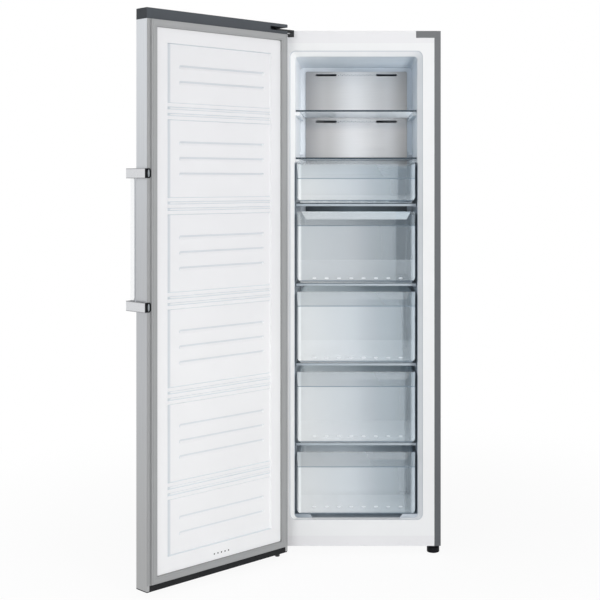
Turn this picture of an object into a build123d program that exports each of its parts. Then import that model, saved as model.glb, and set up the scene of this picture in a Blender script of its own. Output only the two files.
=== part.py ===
from build123d import *
import os
from math import cos, radians, sin

# Upright no-frost freezer with one left-hung door, five clear drawers and two glass shelves.
# The frame: origin on the floor under the middle of the cabinet body, +Z up, the door towards -Y.
# The door is modelled as it stands in use, swung open by DOOR_OPEN. All sizes are in millimetres.

os.makedirs("parts", exist_ok=True)

# ------------------------------------------------------------------ driving dimensions
# Cabinet body
CAB_W = 595.0  # width over the side panels
CAB_D = 600.0  # depth without the door
CAB_BASE = 27.0  # underside of the base plate above the floor
CAB_TOP = 1838.0  # top of the cabinet above the floor
SHEET = 1.0  # steel sheet of the casing
FLANGE_W = 22.5  # folded flanges of the side panels
BASE_T = 1.2  # sheet of the base plate
BASE_LIP = 18.0  # upturned edge of the base plate
TOP_RAIL_H = 43.0
TOP_RAIL_D = 14.0
BOTTOM_RAIL_H = 36.0
BOTTOM_RAIL_D = 12.0
RAIL_WALL = 2.5
HINGE_SEAT_W = 87.0  # recess at each end of the top rail, for a hinge or its cover
HINGE_SEAT_H = 24.5
HINGE_SEAT_D = 3.0

# Inner liner
LINER_T = 2.5
SIDE_WALL = 81.5  # from the outside of the cabinet to the inside of the liner
ROOF_WALL = 88.0
FLOOR_WALL = 95.0
BACK_WALL = 150.0
SPACE_R = 12.0
THROAT_FLARE = 19.0  # how much wider the liner's mouth is, at each side and above
THROAT_DROP = 3.5  # and below
THROAT_R = 21.0
THROAT_D = 20.0  # depth over which the mouth narrows to the inside
POCKET_D = 80.0  # pocket behind the duct panel, which holds the evaporator and fan
POCKET_IN = 24.0  # from the inside's walls and roof to the pocket
BAY_D = 205.0  # compressor bay: depth from the back
BAY_H = 223.0
BAY_FOAM = 50.0  # insulation between the bay and the inside
STEP_CHAMFER = 30.0
LEDGE_W = 14.0  # moulded ledges that carry the shelves
LEDGE_H = 12.0
FLOOR_PAD_W = 52.0  # raised runners beside the channel in the liner's floor
FLOOR_PAD_RAMP = 10.0  # their slope down to the channel
STOP_H = 11.0  # small stops over the back corners of the free shelves
STOP_GAP = 18.0

# Shelves
SHELF_1_DROP = 189.0  # from the roof of the liner to the upper face of shelf 1
SHELF_2_DROP = 167.5  # from shelf 1 to shelf 2
GLASS_T = 4.0
FREE_GLASS_T = 6.0  # of shelves 1 and 2
GLASS_SIDE_GAP = 3.0
GLASS_BACK_GAP = 8.0
FREE_SHELF_FRONT = 20.0  # depth of the front edge of shelves 1 and 2
DRAWER_SHELF_FRONT = 56.0  # depth of the front edge of the shelves between drawers
TRIM_D = 14.0
TRIM_H = 8.5  # profile under the front edge of the shelves between drawers

# Drawers
DRAWER_1_DROP = 153.5  # from shelf 2 to the lower edge of the first drawer's front
DRAWER_5_DROP = 252.5  # from the fourth drawer's lower edge to the fifth's
DRAWER_5_GAP = 13.5  # from the floor of the liner to the fifth drawer's lower edge
DRAWER_TOP_GAP = 38.0  # from a drawer's lower edge to the top of the front below
DRAWER_1_TOP_GAP = 12.0  # from shelf 2's upper face to the first front
DRAWER_SIDE_GAP = 7.3
DRAWER_FRONT_DEPTH = 20.0  # depth of the outer face behind the front plane
DRAWER_FRONT_RETURN = 25.0
DRAWER_FRONT_T = 3.0
DRAWER_EDGE_R = 8.0
DRAWER_CORNER_R = 16.0
GRIP_H = 50.0  # the top of each front leans back above a crease
GRIP_LEAN = 10.0
GRIP_HOOK = 28.0  # the lip behind the top edge turns down by this much
GRIP_TAPER = 14.0  # and narrows at each end
CREASE = 1.2
THICK_HS = (20.0, 76.0, 76.0, 76.0, 66.0)  # the lowest part of each front is thicker
THICK_BY = 1.5
BIN_T = 2.2
BIN_SIDE_GAP = 12.0
BIN_DRAFT = 6.0  # how much narrower each side is at the floor
BIN_R = 14.0
BIN_BACK_GAP = 14.0
BIN_TOP_GAP = 14.0  # from the front's top edge to the bin's rim
BIN_RIM = 3.0
BIN_GLIDE = 0.4
RIB_COUNT = 8  # ribs along the bin's floor
RIB_W = 12.0
RIB_H = 2.0
RIB_PITCH_W = 45.0
RIB_START = 65.0  # from the front's back edge
SHELF_TO_FRONT = 7.0  # from a shelf's upper face to the lower edge of the front above it

# Duct panel, evaporator and fan behind it
DUCT_SIDE_GAP = 19.5
DUCT_T = 1.2
DUCT_STAND = 4.0
DUCT_DROP = 15.0  # from the roof of the liner
SLOT_L = 81.0
SLOT_H = 9.5
SLOT_X = 117.0
SLOT_1_DROP = 13.0  # from the top of the duct panel
SLOT_2_DROP = 20.0  # from shelf 1
FAN_DROP = 94.0  # from the top of the pocket
FAN_R = 55.0
FAN_HUB_R = 18.0
FAN_HUB_L = 22.0
FAN_BLADES = 5
FAN_SHAFT_R = 2.5
BLADE_W = 34.0
MOTOR_R = 24.0
MOTOR_GAP = 4.0
RUNNING = 0.08  # radial clearance of a pin or shaft in its bore
COIL_END_GAP = 12.0  # from the pocket's walls to the evaporator's tubes
COIL_H = 220.0
COIL_DROP = 454.0  # from the fan's middle
COIL_D = 56.0
COIL_FINS = 7
COIL_TUBE_R = 5.0
HEATER_R = 3.5
CONDENSER_R = 2.5
CONDENSER_STEP_W = 110.0  # between the runs of the condenser tube
CONDENSER_GROOVE = 6.0

# Hinges and door
HINGE_IN = 22.6  # hinge axis from the hinge side of the door
HINGE_OUT = 38.2  # hinge axis in front of the cabinet's front plane
PIN_R = 5.0
BUSH_R = 8.0
DOOR_OPEN = 134.4
DOOR_GAP = 9.8  # from the cabinet's front plane to the door's inner plane
DOOR_T = 58.6
DOOR_BOTTOM = 22.0  # lower edge of the steel panel above the floor
DOOR_RISE = 17.0  # from the top of the cabinet to the top of the door
DOOR_SHEET = 0.8
DOOR_LIP = 10.0
DOOR_EDGE_R = 4.0
TOP_CAP_H = 35.0
BOTTOM_CAP_H = 18.0
BOTTOM_CAP_DROP = 3.0  # the bottom cap hangs below the steel panel
DOOR_FLANGE_T = 2.0
GASKET_EDGE = 11.5  # from the door's edges to the gasket
GASKET_W = 24.5
GASKET_H = 9.4
WINDOW_PROUD = 3.0
WINDOW_GAP = 0.3  # from the gasket to the raised liner inside it
PANEL_EDGE = 78.0  # from the door's side edges to the sunk panel
PANEL_LOW = 51.0  # from the raised window's lower edge to the sunk panel
PANEL_HIGH = 46.0
PANEL_SINK = 7.0
PANEL_SLOPE = 2.5
BAND_HIGH = 217.0  # from the top of the sunk panel to the first band of three bars
BAND_LOW = 205.5
BAND_COUNT = 5
BAR_H = 11.0
BAR_PITCH = 20.5
BAR_RISE = 3.0
BAR_DRAFT = 40.0  # degrees that the bars' sides lean
GROOVE_L = 361.5
GROOVE_H = 13.0
GROOVE_D = 4.5  # at the upper edge; the floor rises to the lower edge
GROOVE_IN = 26.5  # from the sunk panel's hinge side
GROOVE_LEAD = 93.0  # from the highest and lowest band to the grooves outside them
GROOVE_PITCH = 50.2
VENT_COUNT = 5  # small vent holes under the sunk panel
VENT_PITCH = 15.0
VENT_R = 1.8
VENT_RISE = 19.2  # above the raised window's lower edge

# Handle
HANDLE_DROP = 521.0  # from the top of the door to the upper bracket
HANDLE_SPAN = 421.0  # between the brackets
BRACKET_H = 31.5
BRACKET_REACH = 43.4  # how far the bracket passes the door's outer face
BRACKET_STAND = 8.0
BRACKET_T = 5.0
BRACKET_TAB_T = 3.2
BRACKET_TAB_W = 11.0
BAR_W = 14.0
BAR_D = 22.0
BAR_R = 4.0
BAR_IN = 8.0  # from the door's free side to the bar
SCREW_R = 2.0
SCREW_HEAD_R = 4.2
SCREW_HEAD_H = 1.8
SCREW_L = 10.0

# Feet, rollers and compressor
FOOT_IN = 25.5  # from the side of the cabinet
FOOT_DEPTH = 27.0
FOOT_R = 22.0
FOOT_H = 18.0
FOOT_COLLAR_R = 19.0
FOOT_COLLAR_H = 4.0
FOOT_STEM_R = 5.0
FOOT_BOSS_R = 11.0
FOOT_BOSS_H = 12.0
ROLLER_R = 18.0
ROLLER_W = 16.0
ROLLER_IN = 47.5
ROLLER_BACK = 55.0  # axle from the back of the cabinet
ROLLER_LUG_T = 2.0
ROLLER_PLAY = 1.0
AXLE_R = 3.0
PUMP_R = 76.0
PUMP_H = 168.0
PUMP_IN = 202.5  # from the left side of the cabinet
PUMP_BACK = 98.0
PUMP_FOOT_SPAN = 150.0
PUMP_FOOT_T = 3.0
GROMMET_R = 12.0
GROMMET_H = 18.0
RELAY_W = 40.0
RELAY_D = 56.0
TRAY_H = 30.0
TRAY_T = 2.0
PIPE_R = 4.0
INLET_IN = 132.5  # from the right side of the cabinet
INLET_W = 46.0
INLET_H = 60.0
INLET_R = 9.0

# ------------------------------------------------------------------ derived places
HALF_W = CAB_W / 2
Y_FRONT = -CAB_D / 2
Y_BACK = CAB_D / 2
INSIDE_X = HALF_W - SHEET  # inner faces of the side panels
FLANGE_X = HALF_W - FLANGE_W  # inner edges of their flanges
BACK_DEPTH = CAB_D - 2 * SHEET  # depth where the insulation ends
SPACE_W = CAB_W - 2 * SIDE_WALL
SPACE_D = CAB_D - BACK_WALL
SPACE_TOP = CAB_TOP - ROOF_WALL
SPACE_BOTTOM = CAB_BASE + FLOOR_WALL
THROAT_W = SPACE_W + 2 * THROAT_FLARE
THROAT_TOP = SPACE_TOP + THROAT_FLARE
THROAT_BOTTOM = SPACE_BOTTOM - THROAT_DROP
POCKET_W = SPACE_W - 2 * POCKET_IN
POCKET_TOP = SPACE_TOP - POCKET_IN
BASE_TOP = CAB_BASE + BASE_T
LID_BOTTOM = CAB_TOP - SHEET
RAIL_Z = CAB_TOP - TOP_RAIL_H
SEAT_Z = CAB_TOP - HINGE_SEAT_H
KICK_Z = CAB_BASE + BOTTOM_RAIL_H
BAY_DEPTH = CAB_D - BAY_D  # depth of the bay's front wall
BAY_TOP = CAB_BASE + BAY_H
STEP_DEPTH = BAY_DEPTH - BAY_FOAM
STEP_Z = BAY_TOP + BAY_FOAM
POCKET_BOTTOM = STEP_Z + 25.0
SHELF_BACK = SPACE_D - GLASS_BACK_GAP
GLASS_W = SPACE_W - 2 * GLASS_SIDE_GAP
DUCT_W = SPACE_W - 2 * DUCT_SIDE_GAP
DUCT_TOP = SPACE_TOP - DUCT_DROP
DUCT_BOTTOM = POCKET_BOTTOM - DUCT_STAND
FAN_Z = POCKET_TOP - FAN_DROP
COIL_Z = FAN_Z - COIL_DROP
COIL_W = POCKET_W - 2 * (COIL_END_GAP + 3 * COIL_TUBE_R)

SHELF_1_Z = SPACE_TOP - SHELF_1_DROP
SHELF_2_Z = SHELF_1_Z - SHELF_2_DROP
DRAWER_1_Z = SHELF_2_Z - DRAWER_1_DROP
DRAWER_5_Z = SPACE_BOTTOM + DRAWER_5_GAP
DRAWER_STEP = (DRAWER_1_Z - DRAWER_5_Z - DRAWER_5_DROP) / 3
DRAWER_BOTTOMS = [DRAWER_1_Z - n * DRAWER_STEP for n in range(4)] + [DRAWER_5_Z]
DRAWER_TOPS = [SHELF_2_Z - DRAWER_1_TOP_GAP] + [z - DRAWER_TOP_GAP for z in DRAWER_BOTTOMS[:4]]
DRAWER_FRONT_W = SPACE_W - 2 * DRAWER_SIDE_GAP
BIN_W = SPACE_W - 2 * BIN_SIDE_GAP
DRAWER_SHELVES_Z = [z - SHELF_TO_FRONT for z in DRAWER_BOTTOMS[:4]]
FLOOR_PAD_Z = DRAWER_5_Z - CREASE

DOOR_IN_Y = HINGE_OUT - DOOR_GAP  # in the door's own plane, from the hinge axis
DOOR_OUT_Y = DOOR_IN_Y - DOOR_T
HINGE_EDGE = -HINGE_IN
FREE_EDGE = CAB_W - HINGE_IN
DOOR_TOP = CAB_TOP + DOOR_RISE
CAP_Z = DOOR_TOP - TOP_CAP_H
SILL_Z = DOOR_BOTTOM + BOTTOM_CAP_H
DOOR_SOLE = DOOR_BOTTOM - BOTTOM_CAP_DROP
WINDOW_EDGE = GASKET_EDGE + GASKET_W + WINDOW_GAP
WINDOW_BOTTOM = SILL_Z + GASKET_W + WINDOW_GAP
WINDOW_TOP = CAP_Z - GASKET_W - WINDOW_GAP
PANEL_BOTTOM = WINDOW_BOTTOM + PANEL_LOW
PANEL_TOP = WINDOW_TOP - PANEL_HIGH
BAND_STEP = (PANEL_TOP - PANEL_BOTTOM - BAND_HIGH - BAND_LOW) / (BAND_COUNT - 1)
HANDLE_TOP_Z = DOOR_TOP - HANDLE_DROP
HANDLE_BOTTOM_Z = HANDLE_TOP_Z - HANDLE_SPAN
FOOT_X = HALF_W - FOOT_IN
ROLLER_X = HALF_W - ROLLER_IN


# ------------------------------------------------------------------ planes and small helpers
def at_depth(d):
    """A plane parallel to the front, d behind it: local x is X, local y is height."""
    return Plane(origin=(0, Y_FRONT + d, 0), x_dir=(1, 0, 0), z_dir=(0, -1, 0))


def at_side(x):
    """A plane facing +X at x: local x runs backwards from the front plane, local y is height."""
    return Plane(origin=(x, Y_FRONT, 0), x_dir=(0, 1, 0), z_dir=(1, 0, 0))


OPENED = radians(DOOR_OPEN)
DOOR = Plane(
    origin=(HINGE_IN - HALF_W, Y_FRONT - HINGE_OUT, 0),
    x_dir=(cos(OPENED), -sin(OPENED), 0),
    z_dir=(0, 0, 1),
)


def door_face(inward):
    """A plane along the door, its local y up, this far from the inner plane to the outer."""
    origin = DOOR.from_local_coords(Vector(0, DOOR_IN_Y - inward, 0))
    return Plane(origin=origin, x_dir=DOOR.x_dir, z_dir=-DOOR.y_dir)


def span(x0, x1, y0, y1, mode=Mode.ADD):
    """A rectangle between two corners of the sketch."""
    with Locations(((x0 + x1) / 2, (y0 + y1) / 2)):
        Rectangle(x1 - x0, y1 - y0, mode=mode)


def round_span(x0, x1, y0, y1, radius, mode=Mode.ADD):
    """A rectangle between two corners of the sketch, with rounded corners."""
    with Locations(((x0 + x1) / 2, (y0 + y1) / 2)):
        RectangleRounded(x1 - x0, y1 - y0, radius, mode=mode)


def save(piece, name):
    piece.part.label = name
    export_step(piece.part, f"parts/{name}.step")


# ------------------------------------------------------------------ casing
def side_panel(side, name):
    """One folded side of the casing: a web with a flange at the front and at the back."""
    with BuildPart() as panel:
        with BuildSketch(Plane.XY.offset(CAB_BASE)) as section:
            outer = sorted((side * FLANGE_X, side * HALF_W))
            inner = sorted((side * FLANGE_X, side * INSIDE_X))
            span(*outer, Y_FRONT, Y_BACK)
            fold = section.vertices().sort_by(Axis.X)[0 if side < 0 else -1]
            folds = [v for v in section.vertices() if abs(v.X - fold.X) < SHEET]
            fillet(folds, 2 * SHEET)
            span(*inner, Y_FRONT + SHEET, Y_BACK - SHEET, mode=Mode.SUBTRACT)
        extrude(amount=CAB_TOP - CAB_BASE)
        with BuildSketch(at_depth(-SHEET)):
            span(*sorted((side * (FLANGE_X - SHEET), side * INSIDE_X)), SEAT_Z, CAB_TOP + SHEET)
        extrude(amount=-(TOP_RAIL_D + SHEET), mode=Mode.SUBTRACT)
    save(panel, name)


side_panel(-1, "side_panel_left")
side_panel(1, "side_panel_right")

with BuildPart() as top_panel:
    with BuildSketch(Plane.XY.offset(LID_BOTTOM)):
        span(-INSIDE_X, INSIDE_X, Y_FRONT + TOP_RAIL_D, Y_BACK - SHEET)
    extrude(amount=SHEET)
    with BuildSketch(Plane.XY.offset(CAB_TOP)):
        with Locations((0, TOP_RAIL_D / 2)):
            RectangleRounded(CAB_W - 4 * FLANGE_W, CAB_D - 4 * FLANGE_W, FLANGE_W)
    extrude(amount=2 * SHEET, taper=45)
save(top_panel, "top_panel")

with BuildPart() as back_panel:
    with BuildSketch(at_depth(BACK_DEPTH)):
        span(-INSIDE_X, INSIDE_X, BAY_TOP, LID_BOTTOM)
    extrude(amount=-SHEET)
    with BuildSketch(at_depth(BACK_DEPTH + SHEET)):
        with Locations((0, (BAY_TOP + LID_BOTTOM) / 2)):
            with GridLocations(FLANGE_X * 2 / 3, 0, 3, 1):
                SlotOverall(LID_BOTTOM - BAY_TOP - 6 * FLANGE_W, FLANGE_W, rotation=90)
    extrude(amount=-SHEET)
save(back_panel, "back_panel")

with BuildPart() as base_plate:
    with BuildSketch(Plane.XY.offset(CAB_BASE)):
        span(-INSIDE_X, INSIDE_X, Y_FRONT + BOTTOM_RAIL_D, Y_BACK - 2 * SHEET)
    extrude(amount=BASE_LIP)
    with BuildSketch(Plane.XY.offset(BASE_TOP)):
        span(
            BASE_T - INSIDE_X,
            INSIDE_X - BASE_T,
            Y_FRONT + BOTTOM_RAIL_D + BASE_T,
            Y_BACK - 2 * SHEET - BASE_T,
        )
    extrude(amount=BASE_LIP, mode=Mode.SUBTRACT)
    # threaded bosses of the front feet
    with BuildSketch(Plane.XY.offset(CAB_BASE)):
        with Locations((-FOOT_X, Y_FRONT + FOOT_DEPTH), (FOOT_X, Y_FRONT + FOOT_DEPTH)):
            Circle(FOOT_BOSS_R)
    extrude(amount=FOOT_BOSS_H)
    with BuildSketch(Plane.XY.offset(CAB_BASE)):
        with Locations((-FOOT_X, Y_FRONT + FOOT_DEPTH), (FOOT_X, Y_FRONT + FOOT_DEPTH)):
            Circle(FOOT_STEM_R + RUNNING)
    extrude(amount=FOOT_BOSS_H, mode=Mode.SUBTRACT)
    # windows over the rear rollers, and the lugs that hold their axles
    with BuildSketch(Plane.XY.offset(CAB_BASE)):
        with Locations((-ROLLER_X, Y_BACK - ROLLER_BACK), (ROLLER_X, Y_BACK - ROLLER_BACK)):
            Rectangle(ROLLER_W + 2 * ROLLER_PLAY, 2 * ROLLER_R + 4 * ROLLER_PLAY)
    extrude(amount=BASE_T, mode=Mode.SUBTRACT)
    for side in (-1, 1):
        for face in (-1, 1):
            inner = side * ROLLER_X + face * (ROLLER_W / 2 + ROLLER_PLAY)
            with BuildSketch(at_side(inner)):
                middle = CAB_D - ROLLER_BACK
                span(middle - ROLLER_R, middle + ROLLER_R, ROLLER_R, CAB_BASE + BASE_T)
                with Locations((middle, ROLLER_R)):
                    Circle(3 * AXLE_R)
                    Circle(AXLE_R, mode=Mode.SUBTRACT)
            extrude(amount=face * ROLLER_LUG_T)
save(base_plate, "base_plate")

with BuildPart() as bay_panel:
    # the bent sheet that closes the compressor bay towards the insulation
    with BuildSketch(at_side(-INSIDE_X + BASE_T)):
        span(BAY_DEPTH, BAY_DEPTH + SHEET, BASE_TOP, BAY_TOP)
        span(BAY_DEPTH, BACK_DEPTH, BAY_TOP - SHEET, BAY_TOP)
    extrude(amount=2 * (INSIDE_X - BASE_T))
save(bay_panel, "bay_panel")


# ------------------------------------------------------------------ liner and insulation
def freezer_space(wall):
    """What the liner encloses: mouth, inside, evaporator pocket and step, grown by wall."""
    with BuildPart() as space:
        with BuildSketch(at_depth(0)):
            round_span(
                -THROAT_W / 2 - wall,
                THROAT_W / 2 + wall,
                THROAT_BOTTOM - wall,
                THROAT_TOP + wall,
                THROAT_R + wall,
            )
        with BuildSketch(at_depth(THROAT_D)):
            round_span(
                -SPACE_W / 2 - wall,
                SPACE_W / 2 + wall,
                SPACE_BOTTOM - wall,
                SPACE_TOP + wall,
                SPACE_R + wall,
            )
        loft()
        with BuildSketch(at_depth(THROAT_D)):
            round_span(
                -SPACE_W / 2 - wall,
                SPACE_W / 2 + wall,
                SPACE_BOTTOM - wall,
                SPACE_TOP + wall,
                SPACE_R + wall,
            )
        extrude(amount=-(SPACE_D - THROAT_D + wall))
        with BuildSketch(at_depth(SPACE_D)):
            round_span(
                -POCKET_W / 2 - wall,
                POCKET_W / 2 + wall,
                POCKET_BOTTOM - wall,
                POCKET_TOP + wall,
                SPACE_R + wall,
            )
        extrude(amount=-(POCKET_D + wall))
        with BuildSketch(at_side(0)):
            with BuildLine():
                Polyline(
                    (STEP_DEPTH + wall, 0),
                    (STEP_DEPTH + wall, STEP_Z - STEP_CHAMFER - wall),
                    (STEP_DEPTH + STEP_CHAMFER + wall, STEP_Z - wall),
                    (CAB_D, STEP_Z - wall),
                    (CAB_D, 0),
                    close=True,
                )
            make_face()
        extrude(amount=HALF_W, both=True, mode=Mode.SUBTRACT)
    return space.part


LEDGE_TOPS = [z - FREE_GLASS_T for z in (SHELF_1_Z, SHELF_2_Z)]
LEDGE_TOPS += [z - GLASS_T for z in DRAWER_SHELVES_Z]
LEDGE_DEPTHS = [FREE_SHELF_FRONT + 2 * TRIM_D] * 2 + [DRAWER_SHELF_FRONT + TRIM_D] * 4

with BuildPart() as inner_liner:
    add(freezer_space(LINER_T))
    with BuildSketch(at_depth(0)):
        span(-FLANGE_X, FLANGE_X, KICK_Z, RAIL_Z)
    extrude(amount=-LINER_T)
    add(freezer_space(0), mode=Mode.SUBTRACT)
    # ledges under the shelves
    for top, start in zip(LEDGE_TOPS, LEDGE_DEPTHS):
        with BuildSketch(at_depth(start)):
            for side in (-1, 1):
                edges = sorted((side * (SPACE_W / 2 - LEDGE_W), side * (SPACE_W / 2 + LINER_T / 2)))
                span(*edges, top - LEDGE_H, top)
        extrude(amount=-(SHELF_BACK - start))
    # stops over the back corners of the free shelves
    with BuildSketch(at_depth(SHELF_BACK - 3 * LEDGE_W)):
        for top in (SHELF_1_Z, SHELF_2_Z):
            for side in (-1, 1):
                edges = sorted((side * (SPACE_W / 2 - LEDGE_W), side * (SPACE_W / 2 + LINER_T / 2)))
                span(*edges, top + STOP_GAP, top + STOP_GAP + STOP_H)
    extrude(amount=-3 * LEDGE_W)
    # runners for the lowest drawer, each side of the channel in the floor
    with BuildSketch(at_depth(THROAT_D)):
        for side in (-1, 1):
            with BuildLine():
                wall_x = side * (SPACE_W / 2 + LINER_T / 4)
                under = SPACE_BOTTOM - LINER_T / 4
                Polyline(
                    (wall_x, SPACE_BOTTOM + SPACE_R / 2),
                    (wall_x, FLOOR_PAD_Z),
                    (side * (SPACE_W / 2 - FLOOR_PAD_W), FLOOR_PAD_Z),
                    (side * (SPACE_W / 2 - FLOOR_PAD_W - FLOOR_PAD_RAMP), under),
                    (side * (SPACE_W / 2 - SPACE_R / 2), under),
                    close=True,
                )
            make_face()
    extrude(amount=-(STEP_DEPTH - THROAT_D + LINER_T / 4))
save(inner_liner, "inner_liner")

CONDENSER_X = INSIDE_X - CONDENSER_R


def condenser_run(plane):
    """The path of the condenser tube over the inner face of the right side panel."""
    low = STEP_Z + CONDENSER_STEP_W
    high = SPACE_TOP - CONDENSER_STEP_W
    depths = [CONDENSER_STEP_W * n for n in (1, 2, 3)]
    corners = []
    for n, d in enumerate(depths):
        ends = [(d, low), (d, high)]
        corners += ends if n % 2 == 0 else ends[::-1]
    with BuildLine(plane) as run:
        FilletPolyline(*corners, radius=CONDENSER_STEP_W / 2 - CONDENSER_R)
    return run


with BuildPart() as insulation_foam:
    with BuildSketch(at_depth(LINER_T)):
        span(-INSIDE_X, INSIDE_X, BASE_TOP + BASE_LIP, LID_BOTTOM)
    extrude(amount=-(BACK_DEPTH - LINER_T))
    with BuildSketch(at_depth(BOTTOM_RAIL_D + BASE_T)):
        span(BASE_T - INSIDE_X, INSIDE_X - BASE_T, BASE_TOP, BASE_TOP + BASE_LIP)
    extrude(amount=-(BAY_DEPTH - BOTTOM_RAIL_D - BASE_T))
    # room for the rails, the foot bosses and the compressor bay
    with BuildSketch(at_depth(0)):
        span(-HALF_W, HALF_W, RAIL_Z, CAB_TOP)
    extrude(amount=-TOP_RAIL_D, mode=Mode.SUBTRACT)
    with BuildSketch(at_depth(0)):
        span(-HALF_W, HALF_W, CAB_BASE, KICK_Z)
    extrude(amount=-BOTTOM_RAIL_D, mode=Mode.SUBTRACT)
    with BuildSketch(Plane.XY.offset(CAB_BASE)):
        for side in (-1, 1):
            with Locations((side * FOOT_X, Y_FRONT + FOOT_DEPTH)):
                Circle(FOOT_BOSS_R + SHEET)
    extrude(amount=FOOT_BOSS_H + FOOT_STEM_R, mode=Mode.SUBTRACT)
    with BuildSketch(at_side(0)):
        span(BAY_DEPTH, CAB_D, 0, BAY_TOP)
    extrude(amount=HALF_W, both=True, mode=Mode.SUBTRACT)
    add(freezer_space(LINER_T), mode=Mode.SUBTRACT)
    # the groove that the condenser tube lies in
    groove_plane = at_side(INSIDE_X - CONDENSER_GROOVE)
    with BuildSketch(groove_plane):
        trace(condenser_run(Plane.XY).wires()[0], line_width=CONDENSER_GROOVE)
    extrude(amount=CONDENSER_GROOVE, mode=Mode.SUBTRACT)
save(insulation_foam, "insulation_foam")

with BuildPart() as condenser_tube:
    run = condenser_run(at_side(CONDENSER_X))
    with BuildSketch(Plane(origin=run.wires()[0] @ 0, z_dir=run.wires()[0] % 0)):
        Circle(CONDENSER_R)
    sweep(path=run.wires()[0])
save(condenser_tube, "condenser_tube")

# ------------------------------------------------------------------ front rails
SEAT_SCREWS_X = [HINGE_SEAT_W * 0.12 - HALF_W, HINGE_SEAT_W * 0.38 - HALF_W]
SEAT_SCREW_Z = SEAT_Z + HINGE_SEAT_H / 2

with BuildPart() as top_rail:
    with BuildSketch(at_depth(0)):
        span(-FLANGE_X, FLANGE_X, RAIL_Z, CAB_TOP)
        span(-INSIDE_X, INSIDE_X, SEAT_Z, CAB_TOP)
    extrude(amount=-TOP_RAIL_D)
    with BuildSketch(at_depth(0)):
        for side in (-1, 1):
            ends = sorted((side * HALF_W, side * (HALF_W - HINGE_SEAT_W)))
            span(*ends, SEAT_Z, CAB_TOP)
    extrude(amount=-HINGE_SEAT_D, mode=Mode.SUBTRACT)
    with BuildSketch(at_depth(HINGE_SEAT_D)):
        for x in SEAT_SCREWS_X:
            with Locations((x, SEAT_SCREW_Z)):
                Circle(SCREW_R)
    extrude(amount=-(SCREW_L - HINGE_SEAT_D), mode=Mode.SUBTRACT)
save(top_rail, "top_rail")

with BuildPart() as hinge_cover:
    with BuildSketch(at_depth(HINGE_SEAT_D)):
        span(HALF_W - HINGE_SEAT_W, INSIDE_X, SEAT_Z, CAB_TOP)
    extrude(amount=HINGE_SEAT_D)
    front = hinge_cover.faces().sort_by(Axis.Y)[0]
    chamfer(front.edges(), SHEET / 2)
save(hinge_cover, "hinge_cover_right")

with BuildPart() as bottom_rail:
    with BuildSketch(at_depth(0)):
        span(-FLANGE_X, FLANGE_X, CAB_BASE, KICK_Z)
    extrude(amount=-BOTTOM_RAIL_D)
    with BuildSketch(at_depth(RAIL_WALL)):
        span(RAIL_WALL - FLANGE_X, FLANGE_X - RAIL_WALL, CAB_BASE + RAIL_WALL, KICK_Z - RAIL_WALL)
    extrude(amount=-BOTTOM_RAIL_D, mode=Mode.SUBTRACT)
save(bottom_rail, "bottom_rail")

# ------------------------------------------------------------------ hinges
HINGE_X = HINGE_IN - HALF_W
ARM_T = 6.0
ARM_TOP = CAB_TOP + 2.0
ARM_BOSS_R = 11.0
PLATE_SLOT_H = 4.6
PLATE_END = HINGE_SEAT_W - HALF_W - 8.0  # the hinge plate stops short of the seat's end

with BuildPart() as top_hinge:
    with BuildSketch(at_depth(HINGE_SEAT_D)):
        span(-INSIDE_X, PLATE_END, SEAT_Z + HINGE_SEAT_D, ARM_TOP)
        for x in SEAT_SCREWS_X:
            with Locations((x, SEAT_SCREW_Z)):
                Circle(SCREW_R, mode=Mode.SUBTRACT)
        # adjusting slot
        with Locations((PLATE_END - HINGE_SEAT_H * 0.9, ARM_TOP - ARM_T - PLATE_SLOT_H)):
            SlotOverall(4 * PLATE_SLOT_H, PLATE_SLOT_H, mode=Mode.SUBTRACT)
    extrude(amount=HINGE_SEAT_D)
    with BuildSketch(Plane.XY.offset(ARM_TOP - ARM_T)) as arm:
        with BuildLine():
            Polyline(
                (HINGE_X - ARM_BOSS_R * 0.7, Y_FRONT - HINGE_OUT + ARM_BOSS_R * 0.7),
                (HINGE_X + ARM_BOSS_R * 0.5, Y_FRONT - HINGE_OUT - ARM_BOSS_R * 0.85),
                (PLATE_END, Y_FRONT),
                (HINGE_X + ARM_BOSS_R, Y_FRONT),
                close=True,
            )
        make_face()
        with Locations((HINGE_X, Y_FRONT - HINGE_OUT)):
            Circle(ARM_BOSS_R)
    extrude(amount=ARM_T)
save(top_hinge, "top_hinge_bracket")

PIN_L = 34.0
with BuildPart() as top_pin:
    with BuildSketch(Plane.XY.offset(ARM_TOP - ARM_T)):
        with Locations((HINGE_X, Y_FRONT - HINGE_OUT)):
            Circle(PIN_R)
    extrude(amount=-PIN_L)
    chamfer(top_pin.faces().sort_by(Axis.Z)[0].edges(), SHEET)
save(top_pin, "top_hinge_pin")

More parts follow.
